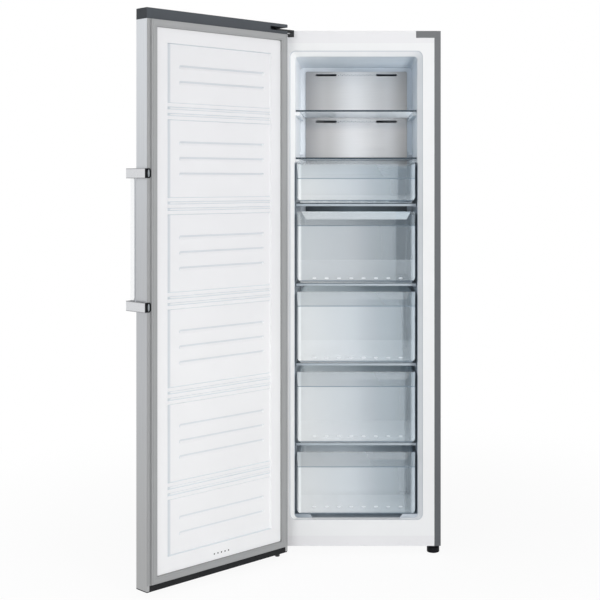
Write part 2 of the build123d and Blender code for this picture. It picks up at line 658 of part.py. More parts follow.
SILL_ARM_TOP = DOOR_SOLE - 3.0
SILL_ARM_T = 4.0
FOOT_PLATE_T = 4.0
FOOT_PLATE_W = 46.0
FOOT_PLATE_D = 80.0
FOOT_PLATE_END = FOOT_PLATE_W - INSIDE_X
FOOT_PLATE_SCREW = (-FOOT_X, Y_FRONT + FOOT_DEPTH + FOOT_R + 3 * SCREW_HEAD_R)
with BuildPart() as bottom_hinge:
    # plate under the base, a web down behind the front plane, and the arm under the door
    with BuildSketch(Plane.XY.offset(CAB_BASE - FOOT_PLATE_T)):
        span(-INSIDE_X, FOOT_PLATE_END, Y_FRONT, Y_FRONT + FOOT_PLATE_D)
        with Locations((-FOOT_X, Y_FRONT + FOOT_DEPTH)):
            Circle(FOOT_STEM_R + SHEET, mode=Mode.SUBTRACT)
        with Locations(FOOT_PLATE_SCREW):
            Circle(SCREW_R, mode=Mode.SUBTRACT)
    extrude(amount=FOOT_PLATE_T)
    with BuildSketch(Plane.XY.offset(SILL_ARM_TOP - SILL_ARM_T)):
        span(-INSIDE_X, FOOT_PLATE_END, Y_FRONT, Y_FRONT + HINGE_SEAT_D)
    extrude(amount=CAB_BASE - SILL_ARM_TOP + SILL_ARM_T)
    with BuildSketch(Plane.XY.offset(SILL_ARM_TOP - SILL_ARM_T)):
        with BuildLine():
            Polyline(
                (-INSIDE_X, Y_FRONT),
                (HINGE_X - ARM_BOSS_R, Y_FRONT - HINGE_OUT),
                (HINGE_X + ARM_BOSS_R, Y_FRONT - HINGE_OUT),
                (FOOT_PLATE_END, Y_FRONT),
                close=True,
            )
        make_face()
        with Locations((HINGE_X, Y_FRONT - HINGE_OUT)):
            Circle(ARM_BOSS_R)
            Circle(PIN_R, mode=Mode.SUBTRACT)
    extrude(amount=SILL_ARM_T)
save(bottom_hinge, "bottom_hinge_bracket")

PIN_HEAD_H = 9.0
PIN_COLLAR_R = 8.5
HINGE_PLAY = 0.3
SILL_PIN_L = 16.0
with BuildPart() as bottom_pin:
    with BuildSketch(Plane.XY.offset(SILL_ARM_TOP - SILL_ARM_T - PIN_HEAD_H)):
        with Locations((HINGE_X, Y_FRONT - HINGE_OUT)):
            RegularPolygon(PIN_COLLAR_R, 6)
    extrude(amount=PIN_HEAD_H)
    with BuildSketch(Plane.XY.offset(SILL_ARM_TOP - SILL_ARM_T)):
        with Locations((HINGE_X, Y_FRONT - HINGE_OUT)):
            Circle(PIN_R)
    extrude(amount=SILL_ARM_T + DOOR_SOLE - SILL_ARM_TOP + SILL_PIN_L)
    chamfer(bottom_pin.faces().sort_by(Axis.Z)[-1].edges(), SHEET)
    with BuildSketch(Plane.XY.offset(SILL_ARM_TOP)):
        with Locations((HINGE_X, Y_FRONT - HINGE_OUT)):
            Circle(PIN_COLLAR_R)
    extrude(amount=DOOR_SOLE - SILL_ARM_TOP - HINGE_PLAY)
save(bottom_pin, "bottom_hinge_pin")

with BuildPart() as hinge_screws:
    for x in SEAT_SCREWS_X:
        with BuildSketch(at_depth(0)):
            with Locations((x, SEAT_SCREW_Z)):
                Circle(SCREW_R)
        extrude(amount=-SCREW_L)
    with BuildSketch(at_depth(0)):
        with Locations((SEAT_SCREWS_X[1], SEAT_SCREW_Z)):
            Circle(SCREW_HEAD_R)
    extrude(amount=SCREW_HEAD_H)
    with BuildSketch(Plane.XY.offset(CAB_BASE)):
        with Locations(FOOT_PLATE_SCREW):
            Circle(SCREW_R)
    extrude(amount=-FOOT_PLATE_T)
    with BuildSketch(Plane.XY.offset(CAB_BASE - FOOT_PLATE_T)):
        with Locations(FOOT_PLATE_SCREW):
            Circle(SCREW_HEAD_R)
    extrude(amount=-SCREW_HEAD_H)
save(hinge_screws, "hinge_screws")

# ------------------------------------------------------------------ shelves
def shelf_glass(top, front, thickness):
    """A pane with its upper face at this height and its front edge at this depth."""
    with BuildSketch(Plane.XY.offset(top - thickness)) as pane:
        span(-GLASS_W / 2, GLASS_W / 2, Y_FRONT + front, Y_FRONT + SHELF_BACK)
    extrude(pane.sketch, amount=thickness)


with BuildPart() as glass_shelf_1:
    shelf_glass(SHELF_1_Z, FREE_SHELF_FRONT, FREE_GLASS_T)
    chamfer(glass_shelf_1.faces().sort_by(Axis.Y)[0].edges(), GLASS_T / 8)
save(glass_shelf_1, "glass_shelf_1")

with BuildPart() as glass_shelf_2:
    shelf_glass(SHELF_2_Z, FREE_SHELF_FRONT, FREE_GLASS_T)
    chamfer(glass_shelf_2.faces().sort_by(Axis.Y)[0].edges(), GLASS_T / 8)
save(glass_shelf_2, "glass_shelf_2")

with BuildPart() as drawer_shelves:
    for z in DRAWER_SHELVES_Z:
        shelf_glass(z, DRAWER_SHELF_FRONT, GLASS_T)
save(drawer_shelves, "drawer_shelves")

with BuildPart() as drawer_trims:
    # the hollow profile under each pane's front edge
    for z in DRAWER_SHELVES_Z:
        under = z - GLASS_T
        back = DRAWER_SHELF_FRONT + TRIM_D
        with BuildSketch(at_side(-GLASS_W / 2)) as section:
            span(DRAWER_SHELF_FRONT, back, under - TRIM_H, under)
            fillet(section.vertices().sort_by(Axis.Y)[0:2], SHEET)
            span(
                DRAWER_SHELF_FRONT + RAIL_WALL,
                back,
                under - TRIM_H + RAIL_WALL,
                under - RAIL_WALL,
                mode=Mode.SUBTRACT,
            )
        extrude(amount=GLASS_W)
save(drawer_trims, "drawer_shelf_trims")


# ------------------------------------------------------------------ drawers
def front_block(bottom, top, inset):
    """The solid outline of a drawer front, drawn in by inset on all sides but the top and back."""
    half = DRAWER_FRONT_W / 2 - inset
    face = DRAWER_FRONT_DEPTH + inset
    back = DRAWER_FRONT_DEPTH + DRAWER_FRONT_RETURN
    crest = top + inset
    with BuildPart() as block:
        with BuildSketch(Plane.XY.offset(bottom + inset)) as plan:
            span(-half, half, Y_FRONT + face, Y_FRONT + back + inset)
            fillet(plan.vertices().group_by(Axis.Y)[0], DRAWER_EDGE_R - inset)
        extrude(amount=crest - bottom - inset)
        with BuildSketch(at_depth(0)) as view:
            span(-half, half, bottom + inset, crest)
            fillet(view.vertices().group_by(Axis.Y)[0], DRAWER_CORNER_R - inset)
        extrude(amount=-CAB_D, mode=Mode.INTERSECT)
        with BuildSketch(at_side(0)):
            with BuildLine():
                Polyline(
                    (face, top - GRIP_H),
                    (face + CREASE, top - GRIP_H + CREASE),
                    (face + GRIP_LEAN, crest),
                    (0, crest),
                    (0, top - GRIP_H),
                    close=True,
                )
            make_face()
        extrude(amount=HALF_W, both=True, mode=Mode.SUBTRACT)
    return block.part


def bin_block(floor, rim, back, inset):
    """The tapered solid of a drawer's bin, drawn in by inset at the sides, back and floor."""
    start = DRAWER_FRONT_DEPTH + DRAWER_FRONT_RETURN
    front_y = Y_FRONT + start
    with BuildPart() as block:
        for z, draw in ((floor + inset, BIN_DRAFT), (rim, 0.0)):
            half = BIN_W / 2 - inset - draw
            with BuildSketch(Plane.XY.offset(z)) as outline:
                span(-half, half, front_y, Y_FRONT + back - inset - draw)
                fillet(outline.vertices().group_by(Axis.Y)[-1], BIN_R - inset)
        loft()
    return block.part


for n, (bottom, top) in enumerate(zip(DRAWER_BOTTOMS, DRAWER_TOPS), start=1):
    lowest = n == len(DRAWER_BOTTOMS)
    floor = (FLOOR_PAD_Z if lowest else bottom - SHELF_TO_FRONT) + BIN_GLIDE
    back = (STEP_DEPTH if lowest else SPACE_D) - BIN_BACK_GAP
    rim = top - BIN_TOP_GAP
    with BuildPart() as drawer_front:
        add(front_block(bottom, top, 0))
        add(front_block(bottom, top, DRAWER_FRONT_T), mode=Mode.SUBTRACT)
        # a lip along the top edge that turns down again, for the fingers
        lip_front = DRAWER_FRONT_DEPTH + GRIP_LEAN
        lip_back = lip_front + 3 * DRAWER_FRONT_T
        half = DRAWER_FRONT_W / 2 - DRAWER_CORNER_R
        with BuildSketch(at_side(-half)):
            span(lip_front, lip_back, top - DRAWER_FRONT_T, top)
        extrude(amount=2 * half)
        with BuildSketch(at_depth(lip_back - BIN_T)):
            with BuildLine():
                tip = half - GRIP_TAPER
                Polyline(
                    (-half, top - DRAWER_FRONT_T),
                    (half, top - DRAWER_FRONT_T),
                    (tip, top - GRIP_HOOK),
                    (-tip, top - GRIP_HOOK),
                    close=True,
                )
            make_face()
        extrude(amount=-BIN_T)
        # the lower part is thicker
        inner = DRAWER_FRONT_DEPTH + DRAWER_FRONT_T
        with BuildSketch(at_depth(inner - THICK_BY / 2)):
            span(-half, half, bottom + THICK_BY, bottom + THICK_HS[n - 1])
        extrude(amount=-1.5 * THICK_BY)
    save(drawer_front, f"drawer_{n}_front")
    with BuildPart() as drawer_bin:
        add(bin_block(floor, rim, back, 0))
        # the rim turns outwards along the sides and back
        with BuildSketch(Plane.XY.offset(rim - BIN_T)) as rim_outline:
            half = BIN_W / 2 + BIN_RIM
            start = Y_FRONT + DRAWER_FRONT_DEPTH + DRAWER_FRONT_RETURN
            span(-half, half, start, Y_FRONT + back + BIN_RIM)
            fillet(rim_outline.vertices().group_by(Axis.Y)[-1], BIN_R)
        extrude(amount=BIN_T)
        add(bin_block(floor, rim, back, BIN_T), mode=Mode.SUBTRACT)
        # ribs along the floor
        with BuildSketch(Plane.XY.offset(floor + BIN_T / 2)):
            rib_front = Y_FRONT + DRAWER_FRONT_DEPTH + DRAWER_FRONT_RETURN + RIB_START
            rib_back = Y_FRONT + back - RIB_START
            with Locations((0, (rib_front + rib_back) / 2)):
                with GridLocations(RIB_PITCH_W, 0, RIB_COUNT, 1):
                    Rectangle(RIB_W, rib_back - rib_front)
        extrude(amount=BIN_T / 2 + RIB_H)
    save(drawer_bin, f"drawer_{n}_bin")

# ------------------------------------------------------------------ air duct, evaporator and fan
with BuildPart() as duct_panel:
    with BuildSketch(at_depth(SPACE_D - DUCT_STAND)):
        round_span(-DUCT_W / 2, DUCT_W / 2, DUCT_BOTTOM, DUCT_TOP, SPACE_R / 2)
    extrude(amount=-DUCT_STAND)
    with BuildSketch(at_depth(SPACE_D - DUCT_STAND + DUCT_T)):
        round_span(
            DUCT_T - DUCT_W / 2,
            DUCT_W / 2 - DUCT_T,
            DUCT_BOTTOM + DUCT_T,
            DUCT_TOP - DUCT_T,
            SPACE_R / 2 - DUCT_T,
        )
    extrude(amount=-DUCT_STAND, mode=Mode.SUBTRACT)
    with BuildSketch(at_depth(SPACE_D - DUCT_STAND)):
        for z in (DUCT_TOP - SLOT_1_DROP, SHELF_1_Z - SLOT_2_DROP):
            with Locations((-SLOT_X, z), (SLOT_X, z)):
                SlotOverall(SLOT_L, SLOT_H)
    extrude(amount=-DUCT_T, mode=Mode.SUBTRACT)
save(duct_panel, "duct_panel")

FAN_DEPTH = SPACE_D + POCKET_D / 2  # middle of the fan
with BuildPart() as fan_rotor:
    with BuildSketch(at_depth(FAN_DEPTH - FAN_HUB_L / 2)):
        with Locations((0, FAN_Z)):
            Circle(FAN_HUB_R)
    extrude(amount=-FAN_HUB_L)
    nose = fan_rotor.faces().sort_by(Axis.Y)[0]
    chamfer(nose.edges(), FAN_HUB_R / 4)
    for n in range(FAN_BLADES):
        turn = radians(n * 360.0 / FAN_BLADES)
        spoke = Plane(
            origin=(0, Y_FRONT + FAN_DEPTH, FAN_Z),
            x_dir=(0, 1, 0),
            z_dir=(sin(turn), 0, cos(turn)),
        )
        with BuildSketch(spoke.offset(FAN_HUB_R * 0.8)):
            Rectangle(BLADE_W, BIN_T, rotation=57)
        extrude(amount=FAN_R - FAN_HUB_R * 0.8)
    with BuildSketch(at_depth(FAN_DEPTH + FAN_HUB_L / 2)):
        with Locations((0, FAN_Z)):
            Circle(FAN_SHAFT_R + RUNNING)
    extrude(amount=FAN_HUB_L * 0.6, mode=Mode.SUBTRACT)
save(fan_rotor, "fan_rotor")

MOTOR_DEPTH = FAN_DEPTH + FAN_HUB_L / 2 + MOTOR_GAP
with BuildPart() as fan_motor:
    with BuildSketch(at_depth(MOTOR_DEPTH)):
        with Locations((0, FAN_Z)):
            Circle(MOTOR_R)
            Rectangle(2 * FAN_R, MOTOR_R / 2)
    extrude(amount=-(SPACE_D + POCKET_D - MOTOR_DEPTH))
    with BuildSketch(at_depth(MOTOR_DEPTH)):
        with Locations((0, FAN_Z)):
            Circle(FAN_SHAFT_R)
    extrude(amount=MOTOR_GAP + FAN_HUB_L * 0.5)
save(fan_motor, "fan_motor")

with BuildPart() as evaporator:
    with BuildSketch(Plane.YZ.offset(-COIL_W / 2)):
        with Locations((Y_FRONT + SPACE_D + POCKET_D / 2, COIL_Z)):
            Rectangle(COIL_D, COIL_H)
    extrude(amount=SHEET)
    fin = evaporator.part
    for n in range(1, COIL_FINS):
        with Locations((n * (COIL_W - SHEET) / (COIL_FINS - 1), 0, 0)):
            add(fin)
    with BuildSketch(Plane.YZ.offset(-COIL_W / 2 - 3 * COIL_TUBE_R)):
        with Locations((Y_FRONT + SPACE_D + POCKET_D / 2, COIL_Z)):
            with GridLocations(0, COIL_H / 2, 1, 2):
                Circle(COIL_TUBE_R)
    extrude(amount=COIL_W + 6 * COIL_TUBE_R)
save(evaporator, "evaporator")

with BuildPart() as defrost_heater:
    heater_z = COIL_Z - COIL_H / 2 - 4 * HEATER_R
    with BuildLine(at_depth(SPACE_D + POCKET_D / 2)) as heater_run:
        FilletPolyline(
            (-COIL_W / 2, heater_z + 3 * HEATER_R),
            (-COIL_W / 2, heater_z - 4 * HEATER_R),
            (COIL_W / 2, heater_z - 4 * HEATER_R),
            (COIL_W / 2, heater_z + 3 * HEATER_R),
            radius=4 * HEATER_R,
        )
    path = heater_run.wires()[0]
    with BuildSketch(Plane(origin=path @ 0, z_dir=path % 0)):
        Circle(HEATER_R)
    sweep(path=path)
save(defrost_heater, "defrost_heater")

# ------------------------------------------------------------------ compressor bay
PUMP_X = PUMP_IN - HALF_W
PUMP_Y = Y_BACK - PUMP_BACK
PUMP_FOOT_Z = BASE_TOP + GROMMET_H
PUMP_BOTTOM = PUMP_FOOT_Z - PUMP_FOOT_T
with BuildPart() as compressor:
    # half section of the two pressed shells, turned about the upright axis
    crown = PUMP_BOTTOM + PUMP_H
    with BuildSketch(Plane(origin=(PUMP_X, PUMP_Y, 0), x_dir=(1, 0, 0), z_dir=(0, -1, 0))):
        with BuildLine():
            Polyline(
                (0, PUMP_BOTTOM),
                (PUMP_R * 0.7, PUMP_BOTTOM),
                (PUMP_R * 0.93, PUMP_BOTTOM + PUMP_H * 0.08),
                (PUMP_R, PUMP_BOTTOM + PUMP_H * 0.2),
                (PUMP_R, crown - PUMP_H * 0.28),
                (PUMP_R * 0.92, crown - PUMP_H * 0.14),
                (PUMP_R * 0.7, crown - PUMP_H * 0.04),
                (PUMP_R * 0.4, crown),
                (0, crown),
                close=True,
            )
        make_face()
    revolve(axis=Axis((PUMP_X, PUMP_Y, 0), (0, 0, 1)))
    # weld seam of the two half shells
    with BuildSketch(Plane.XY.offset(PUMP_BOTTOM + PUMP_H * 0.55)):
        with Locations((PUMP_X, PUMP_Y)):
            Circle(PUMP_R + PUMP_FOOT_T)
    extrude(amount=PUMP_FOOT_T)
    with BuildSketch(Plane.XY.offset(PUMP_FOOT_Z)):
        with Locations((PUMP_X, PUMP_Y)):
            RectangleRounded(PUMP_FOOT_SPAN + 2 * GROMMET_R, PUMP_R * 1.2, GROMMET_R)
            with GridLocations(PUMP_FOOT_SPAN, PUMP_R * 0.7, 2, 2):
                Circle(GROMMET_R / 3, mode=Mode.SUBTRACT)
    extrude(amount=PUMP_FOOT_T)
save(compressor, "compressor")

with BuildPart() as grommets:
    with BuildSketch(Plane.XY.offset(BASE_TOP)):
        with Locations((PUMP_X, PUMP_Y)):
            with GridLocations(PUMP_FOOT_SPAN, PUMP_R * 0.7, 2, 2):
                Circle(GROMMET_R * 0.8)
    extrude(amount=GROMMET_H)
    with BuildSketch(Plane.XY.offset(PUMP_FOOT_Z)):
        with Locations((PUMP_X, PUMP_Y)):
            with GridLocations(PUMP_FOOT_SPAN, PUMP_R * 0.7, 2, 2):
                Circle(GROMMET_R / 3)
    extrude(amount=PUMP_FOOT_T)
save(grommets, "compressor_grommets")

with BuildPart() as relay_box:
    box_x = PUMP_X + PUMP_R - PUMP_FOOT_T
    with BuildSketch(Plane.XY.offset(PUMP_BOTTOM + PUMP_H * 0.2)):
        span(box_x, box_x + RELAY_W, PUMP_Y - RELAY_D / 2, PUMP_Y + RELAY_D / 2)
    extrude(amount=PUMP_H * 0.33)
    chamfer(relay_box.faces().sort_by(Axis.X)[-1].edges(), PUMP_FOOT_T)
    add(compressor.part, mode=Mode.SUBTRACT)
save(relay_box, "compressor_relay_box")

with BuildPart() as tray:
    tray_z = PUMP_BOTTOM + PUMP_H
    corners = (PUMP_X - PUMP_R * 0.9, PUMP_X + PUMP_R * 1.2, PUMP_Y - PUMP_R * 0.7, PUMP_Y + PUMP_R * 0.7)
    with BuildSketch(Plane.XY.offset(tray_z)):
        round_span(*corners, SPACE_R)
    extrude(amount=TRAY_H)
    inside = (corners[0] + TRAY_T, corners[1] - TRAY_T, corners[2] + TRAY_T, corners[3] - TRAY_T)
    with BuildSketch(Plane.XY.offset(tray_z + TRAY_T)):
        round_span(*inside, SPACE_R - TRAY_T)
    extrude(amount=TRAY_H, mode=Mode.SUBTRACT)
save(tray, "evaporation_tray")


def pipe(name, radius, bend, *points):
    """A bent copper pipe through these corners, which ends on the compressor's shell."""
    with BuildPart() as tube:
        with BuildLine() as route:
            FilletPolyline(*points, radius=bend)
        path = route.wires()[0]
        with BuildSketch(Plane(origin=path @ 0, z_dir=path % 0)):
            Circle(radius)
        sweep(path=path)
        add(compressor.part, mode=Mode.SUBTRACT)
    save(tube, name)


PIPE_Z = PUMP_BOTTOM + PUMP_H * 0.4
pipe(
    "suction_pipe",
    PIPE_R,
    4 * PIPE_R,
    (PUMP_X - PUMP_R * 0.8, PUMP_Y, PIPE_Z),
    (PUMP_X - PUMP_R * 1.7, PUMP_Y, PIPE_Z),
    (PUMP_X - PUMP_R * 1.7, PUMP_Y, BAY_TOP - SHEET),
)

INLET_X = HALF_W - INLET_IN
with BuildPart() as power_inlet:
    # terminal box with the grommet that a mains cord enters by
    with BuildSketch(Plane.XY.offset(BASE_TOP)):
        with Locations((INLET_X, Y_BACK - 2 * SHEET - BASE_T - INLET_W / 2)):
            RectangleRounded(INLET_W, INLET_W, PIPE_R)
    extrude(amount=INLET_H)
    with BuildSketch(at_depth(BACK_DEPTH - BASE_T)):
        with Locations((INLET_X, BASE_TOP + INLET_H - 2 * INLET_R)):
            Circle(INLET_R)
    extrude(amount=-BASE_T)
    with BuildSketch(at_depth(BACK_DEPTH)):
        with Locations((INLET_X, BASE_TOP + INLET_H - 2 * INLET_R)):
            Circle(INLET_R / 2)
    extrude(amount=2 * INLET_R, mode=Mode.SUBTRACT)
save(power_inlet, "power_inlet")

# ------------------------------------------------------------------ feet and rollers
for side, name in ((-1, "foot_left"), (1, "foot_right")):
    foot_axis = (side * FOOT_X, Y_FRONT + FOOT_DEPTH)
    with BuildPart() as foot:
        with BuildSketch(Plane.XY):
            with Locations(foot_axis):
                Circle(FOOT_R)
        extrude(amount=FOOT_H)
        chamfer(foot.faces().sort_by(Axis.Z)[0].edges(), FOOT_H / 12)
        with BuildSketch(Plane.XY.offset(FOOT_H)):
            with Locations(foot_axis):
                RegularPolygon(FOOT_COLLAR_R, 12)
        extrude(amount=FOOT_COLLAR_H)
        with BuildSketch(Plane.XY.offset(FOOT_H)):
            with Locations(foot_axis):
                Circle(FOOT_STEM_R)
        extrude(amount=CAB_BASE + FOOT_BOSS_H - FOOT_H)
    save(foot, name)

for side, name in ((-1, "roller_left"), (1, "roller_right")):
    with BuildPart() as roller:
        with BuildSketch(at_side(side * ROLLER_X - ROLLER_W / 2)):
            with Locations((CAB_D - ROLLER_BACK, ROLLER_R)):
                Circle(ROLLER_R)
        extrude(amount=ROLLER_W)
        rims = roller.edges().filter_by(GeomType.CIRCLE)
        chamfer(rims, ROLLER_W / 10)
        with BuildSketch(at_side(side * ROLLER_X - ROLLER_W / 2)):
            with Locations((CAB_D - ROLLER_BACK, ROLLER_R)):
                Circle(AXLE_R + RUNNING)
        extrude(amount=ROLLER_W, mode=Mode.SUBTRACT)
    save(roller, name)

with BuildPart() as axles:
    axle_half = ROLLER_W / 2 + ROLLER_PLAY + ROLLER_LUG_T
    for side in (-1, 1):
        with BuildSketch(at_side(side * ROLLER_X - axle_half)):
            with Locations((CAB_D - ROLLER_BACK, ROLLER_R)):
                Circle(AXLE_R)
        extrude(amount=2 * axle_half)
        for face in (-1, 1):
            with BuildSketch(at_side(side * ROLLER_X + face * axle_half)):
                with Locations((CAB_D - ROLLER_BACK, ROLLER_R)):
                    Circle(1.8 * AXLE_R)
            extrude(amount=face * ROLLER_LUG_T)
save(axles, "roller_axles")

# ------------------------------------------------------------------ door
with BuildPart() as door_panel:
    with BuildSketch(DOOR.offset(DOOR_BOTTOM)) as section:
        span(HINGE_EDGE, FREE_EDGE, DOOR_OUT_Y, DOOR_IN_Y)
        fillet(section.vertices().group_by(Axis.Y)[0], DOOR_EDGE_R)
        with Locations(((HINGE_EDGE + FREE_EDGE) / 2, (DOOR_OUT_Y + DOOR_IN_Y) / 2)):
            RectangleRounded(
                CAB_W - 2 * DOOR_SHEET,
                DOOR_T - 2 * DOOR_SHEET,
                DOOR_EDGE_R - DOOR_SHEET,
                mode=Mode.SUBTRACT,
            )
        lips = (HINGE_EDGE + DOOR_LIP, FREE_EDGE - DOOR_LIP)
        span(*lips, DOOR_IN_Y - 2 * DOOR_SHEET, DOOR_IN_Y + DOOR_SHEET, mode=Mode.SUBTRACT)
    extrude(amount=CAP_Z - DOOR_BOTTOM)
    with BuildSketch(door_face(-DOOR_SHEET)):
        with Locations(*[(FREE_EDGE - BRACKET_STAND / 2, z) for z in (HANDLE_TOP_Z, HANDLE_BOTTOM_Z)]):
            Circle(SCREW_R)
    extrude(amount=3 * DOOR_SHEET, mode=Mode.SUBTRACT)
save(door_panel, "door_panel")


def within_shell(z, clear=0.0):
    """The sketch of all that fits between the steel panel's walls and behind its lips."""
    with BuildSketch(DOOR.offset(z)) as core:
        walls = (HINGE_EDGE + DOOR_SHEET, FREE_EDGE - DOOR_SHEET)
        span(*walls, DOOR_OUT_Y + DOOR_SHEET, DOOR_IN_Y - DOOR_SHEET - clear)
        fillet(core.vertices(), DOOR_EDGE_R - DOOR_SHEET)
    return core.sketch


def hinge_bore(z, radius, length, mode=Mode.SUBTRACT):
    """A cylinder round the hinge axis, upwards from this height."""
    with BuildSketch(DOOR.offset(z)) as bore:
        Circle(radius)
    extrude(bore.sketch, amount=length, mode=mode)


TOP_BUSH_Z = ARM_TOP - ARM_T - PIN_L - 2.0
POCKET_FLOOR = ARM_TOP - ARM_T - 3.0
POCKET_ROOF = ARM_TOP + 4.0
TOP_BOSS_R = 11.0

with BuildPart() as bottom_cap:
    extrude(within_shell(DOOR_BOTTOM), amount=BOTTOM_CAP_H)
    with BuildSketch(DOOR.offset(DOOR_BOTTOM)):
        lips = (HINGE_EDGE + DOOR_LIP, FREE_EDGE - DOOR_LIP)
        span(*lips, DOOR_IN_Y - 2 * DOOR_SHEET, DOOR_IN_Y)
    extrude(amount=BOTTOM_CAP_H)
    with BuildSketch(DOOR.offset(DOOR_SOLE)) as sole:
        span(HINGE_EDGE, FREE_EDGE, DOOR_OUT_Y, DOOR_IN_Y)
        fillet(sole.vertices(), DOOR_EDGE_R)
    extrude(amount=BOTTOM_CAP_DROP)
    hinge_bore(DOOR_SOLE, BUSH_R, SILL_Z - DOOR_SOLE)
save(bottom_cap, "door_bottom_cap")

with BuildPart() as top_cap:
    with BuildSketch(DOOR.offset(CAP_Z)) as outline:
        span(HINGE_EDGE, FREE_EDGE, DOOR_OUT_Y, DOOR_IN_Y)
        fillet(outline.vertices().group_by(Axis.Y)[0], DOOR_EDGE_R)
    extrude(amount=TOP_CAP_H)
    chamfer(top_cap.faces().sort_by(Axis.Z)[-1].edges(), 1.5)
    hinge_bore(TOP_BUSH_Z - SHEET, TOP_BOSS_R, CAP_Z - TOP_BUSH_Z + SHEET, Mode.ADD)
    # the pocket that the hinge arm swings in, open at the inner face and the hinge side
    with BuildSketch(DOOR.offset(POCKET_FLOOR)):
        reach = PLATE_END - HINGE_X
        span(HINGE_EDGE - SHEET, reach, -ARM_BOSS_R * 1.7, DOOR_IN_Y + SHEET)
    extrude(amount=POCKET_ROOF - POCKET_FLOOR, mode=Mode.SUBTRACT)
    hinge_bore(TOP_BUSH_Z, BUSH_R, POCKET_FLOOR - TOP_BUSH_Z)
save(top_cap, "door_top_cap")

with BuildPart() as bushes:
    hinge_bore(TOP_BUSH_Z, BUSH_R, POCKET_FLOOR - TOP_BUSH_Z, Mode.ADD)
    hinge_bore(TOP_BUSH_Z, PIN_R + RUNNING, POCKET_FLOOR - TOP_BUSH_Z)
    hinge_bore(DOOR_SOLE, BUSH_R, SILL_Z - DOOR_SOLE, Mode.ADD)
    hinge_bore(DOOR_SOLE, PIN_R + RUNNING, SILL_Z - DOOR_SOLE - DOOR_FLANGE_T)
save(bushes, "hinge_bushes")

PANEL_BACK = PANEL_SINK - WINDOW_PROUD + DOOR_FLANGE_T  # back of the sunk panel's sheet
BOSS_BACK = PANEL_BACK + GROOVE_D
GROOVE_MIDDLE = HINGE_EDGE + PANEL_EDGE + GROOVE_IN + GROOVE_L / 2
BAND_ZS = [PANEL_TOP - BAND_HIGH - n * BAND_STEP for n in range(BAND_COUNT)]
GROOVE_ZS = [BAND_ZS[0] + GROOVE_LEAD + n * GROOVE_PITCH for n in (0, 1)]
for band in BAND_ZS[:-1]:
    GROOVE_ZS += [band - BAND_STEP / 2 + n * GROOVE_PITCH for n in (-1, 0, 1)]
GROOVE_ZS += [BAND_ZS[-1] - GROOVE_LEAD - n * GROOVE_PITCH for n in (0, 1)]

with BuildPart() as door_liner:
    # flange under the gasket, then the raised window
    with BuildSketch(door_face(0)):
        span(HINGE_EDGE + DOOR_LIP, FREE_EDGE - DOOR_LIP, SILL_Z, CAP_Z)
    extrude(amount=DOOR_FLANGE_T)
    window = (HINGE_EDGE + WINDOW_EDGE, FREE_EDGE - WINDOW_EDGE, WINDOW_BOTTOM, WINDOW_TOP)
    with BuildSketch(door_face(-WINDOW_PROUD)):
        round_span(*window, SPACE_R / 2)
    extrude(amount=WINDOW_PROUD + PANEL_BACK)
    # hollow behind the frame of the window
    sunk = (HINGE_EDGE + PANEL_EDGE, FREE_EDGE - PANEL_EDGE, PANEL_BOTTOM, PANEL_TOP)
    skin = DOOR_FLANGE_T
    with BuildSketch(door_face(-WINDOW_PROUD + skin)):
        span(window[0] + skin, window[1] - skin, window[2] + skin, window[3] - skin)
        span(sunk[0] - skin, sunk[1] + skin, sunk[2] - skin, sunk[3] + skin, mode=Mode.SUBTRACT)
    extrude(amount=WINDOW_PROUD + PANEL_BACK, mode=Mode.SUBTRACT)
    # the sunk panel, with sloped sides
    with BuildSketch(door_face(-WINDOW_PROUD)):
        span(*sunk)
    with BuildSketch(door_face(PANEL_SINK - WINDOW_PROUD)):
        slope = PANEL_SLOPE
        span(sunk[0] + slope, sunk[1] - slope, sunk[2] + slope, sunk[3] - slope)
    loft(mode=Mode.SUBTRACT)
    # bands of three bars across it
    with BuildSketch(door_face(PANEL_SINK - WINDOW_PROUD - BAR_RISE)):
        for band in BAND_ZS:
            for n in (-1, 0, 1):
                middle = band + n * BAR_PITCH
                span(sunk[0], sunk[1], middle - BAR_H / 2, middle + BAR_H / 2)
    extrude(amount=BAR_RISE, taper=-BAR_DRAFT)
    # long grooves between the bands
    with BuildSketch(door_face(PANEL_BACK)):
        for z in GROOVE_ZS:
            with Locations((GROOVE_MIDDLE, z)):
                Rectangle(GROOVE_L + 2 * skin, GROOVE_H + 2 * skin)
    extrude(amount=GROOVE_D)
    for z in GROOVE_ZS:
        with BuildSketch(door_face(PANEL_SINK - WINDOW_PROUD)):
            with Locations((GROOVE_MIDDLE, z)):
                SlotOverall(GROOVE_L, GROOVE_H)
        with BuildSketch(door_face(PANEL_SINK - WINDOW_PROUD + GROOVE_D)):
            with Locations((GROOVE_MIDDLE, z + GROOVE_H / 3)):
                SlotOverall(GROOVE_L - GROOVE_H * 2 / 3, GROOVE_H / 3)
        loft(mode=Mode.SUBTRACT)
    with BuildSketch(door_face(-WINDOW_PROUD)):
        with Locations(((HINGE_EDGE + FREE_EDGE) / 2, WINDOW_BOTTOM + VENT_RISE)):
            with GridLocations(VENT_PITCH, 0, VENT_COUNT, 1):
                Circle(VENT_R)
    extrude(amount=skin, mode=Mode.SUBTRACT)
save(door_liner, "door_liner")

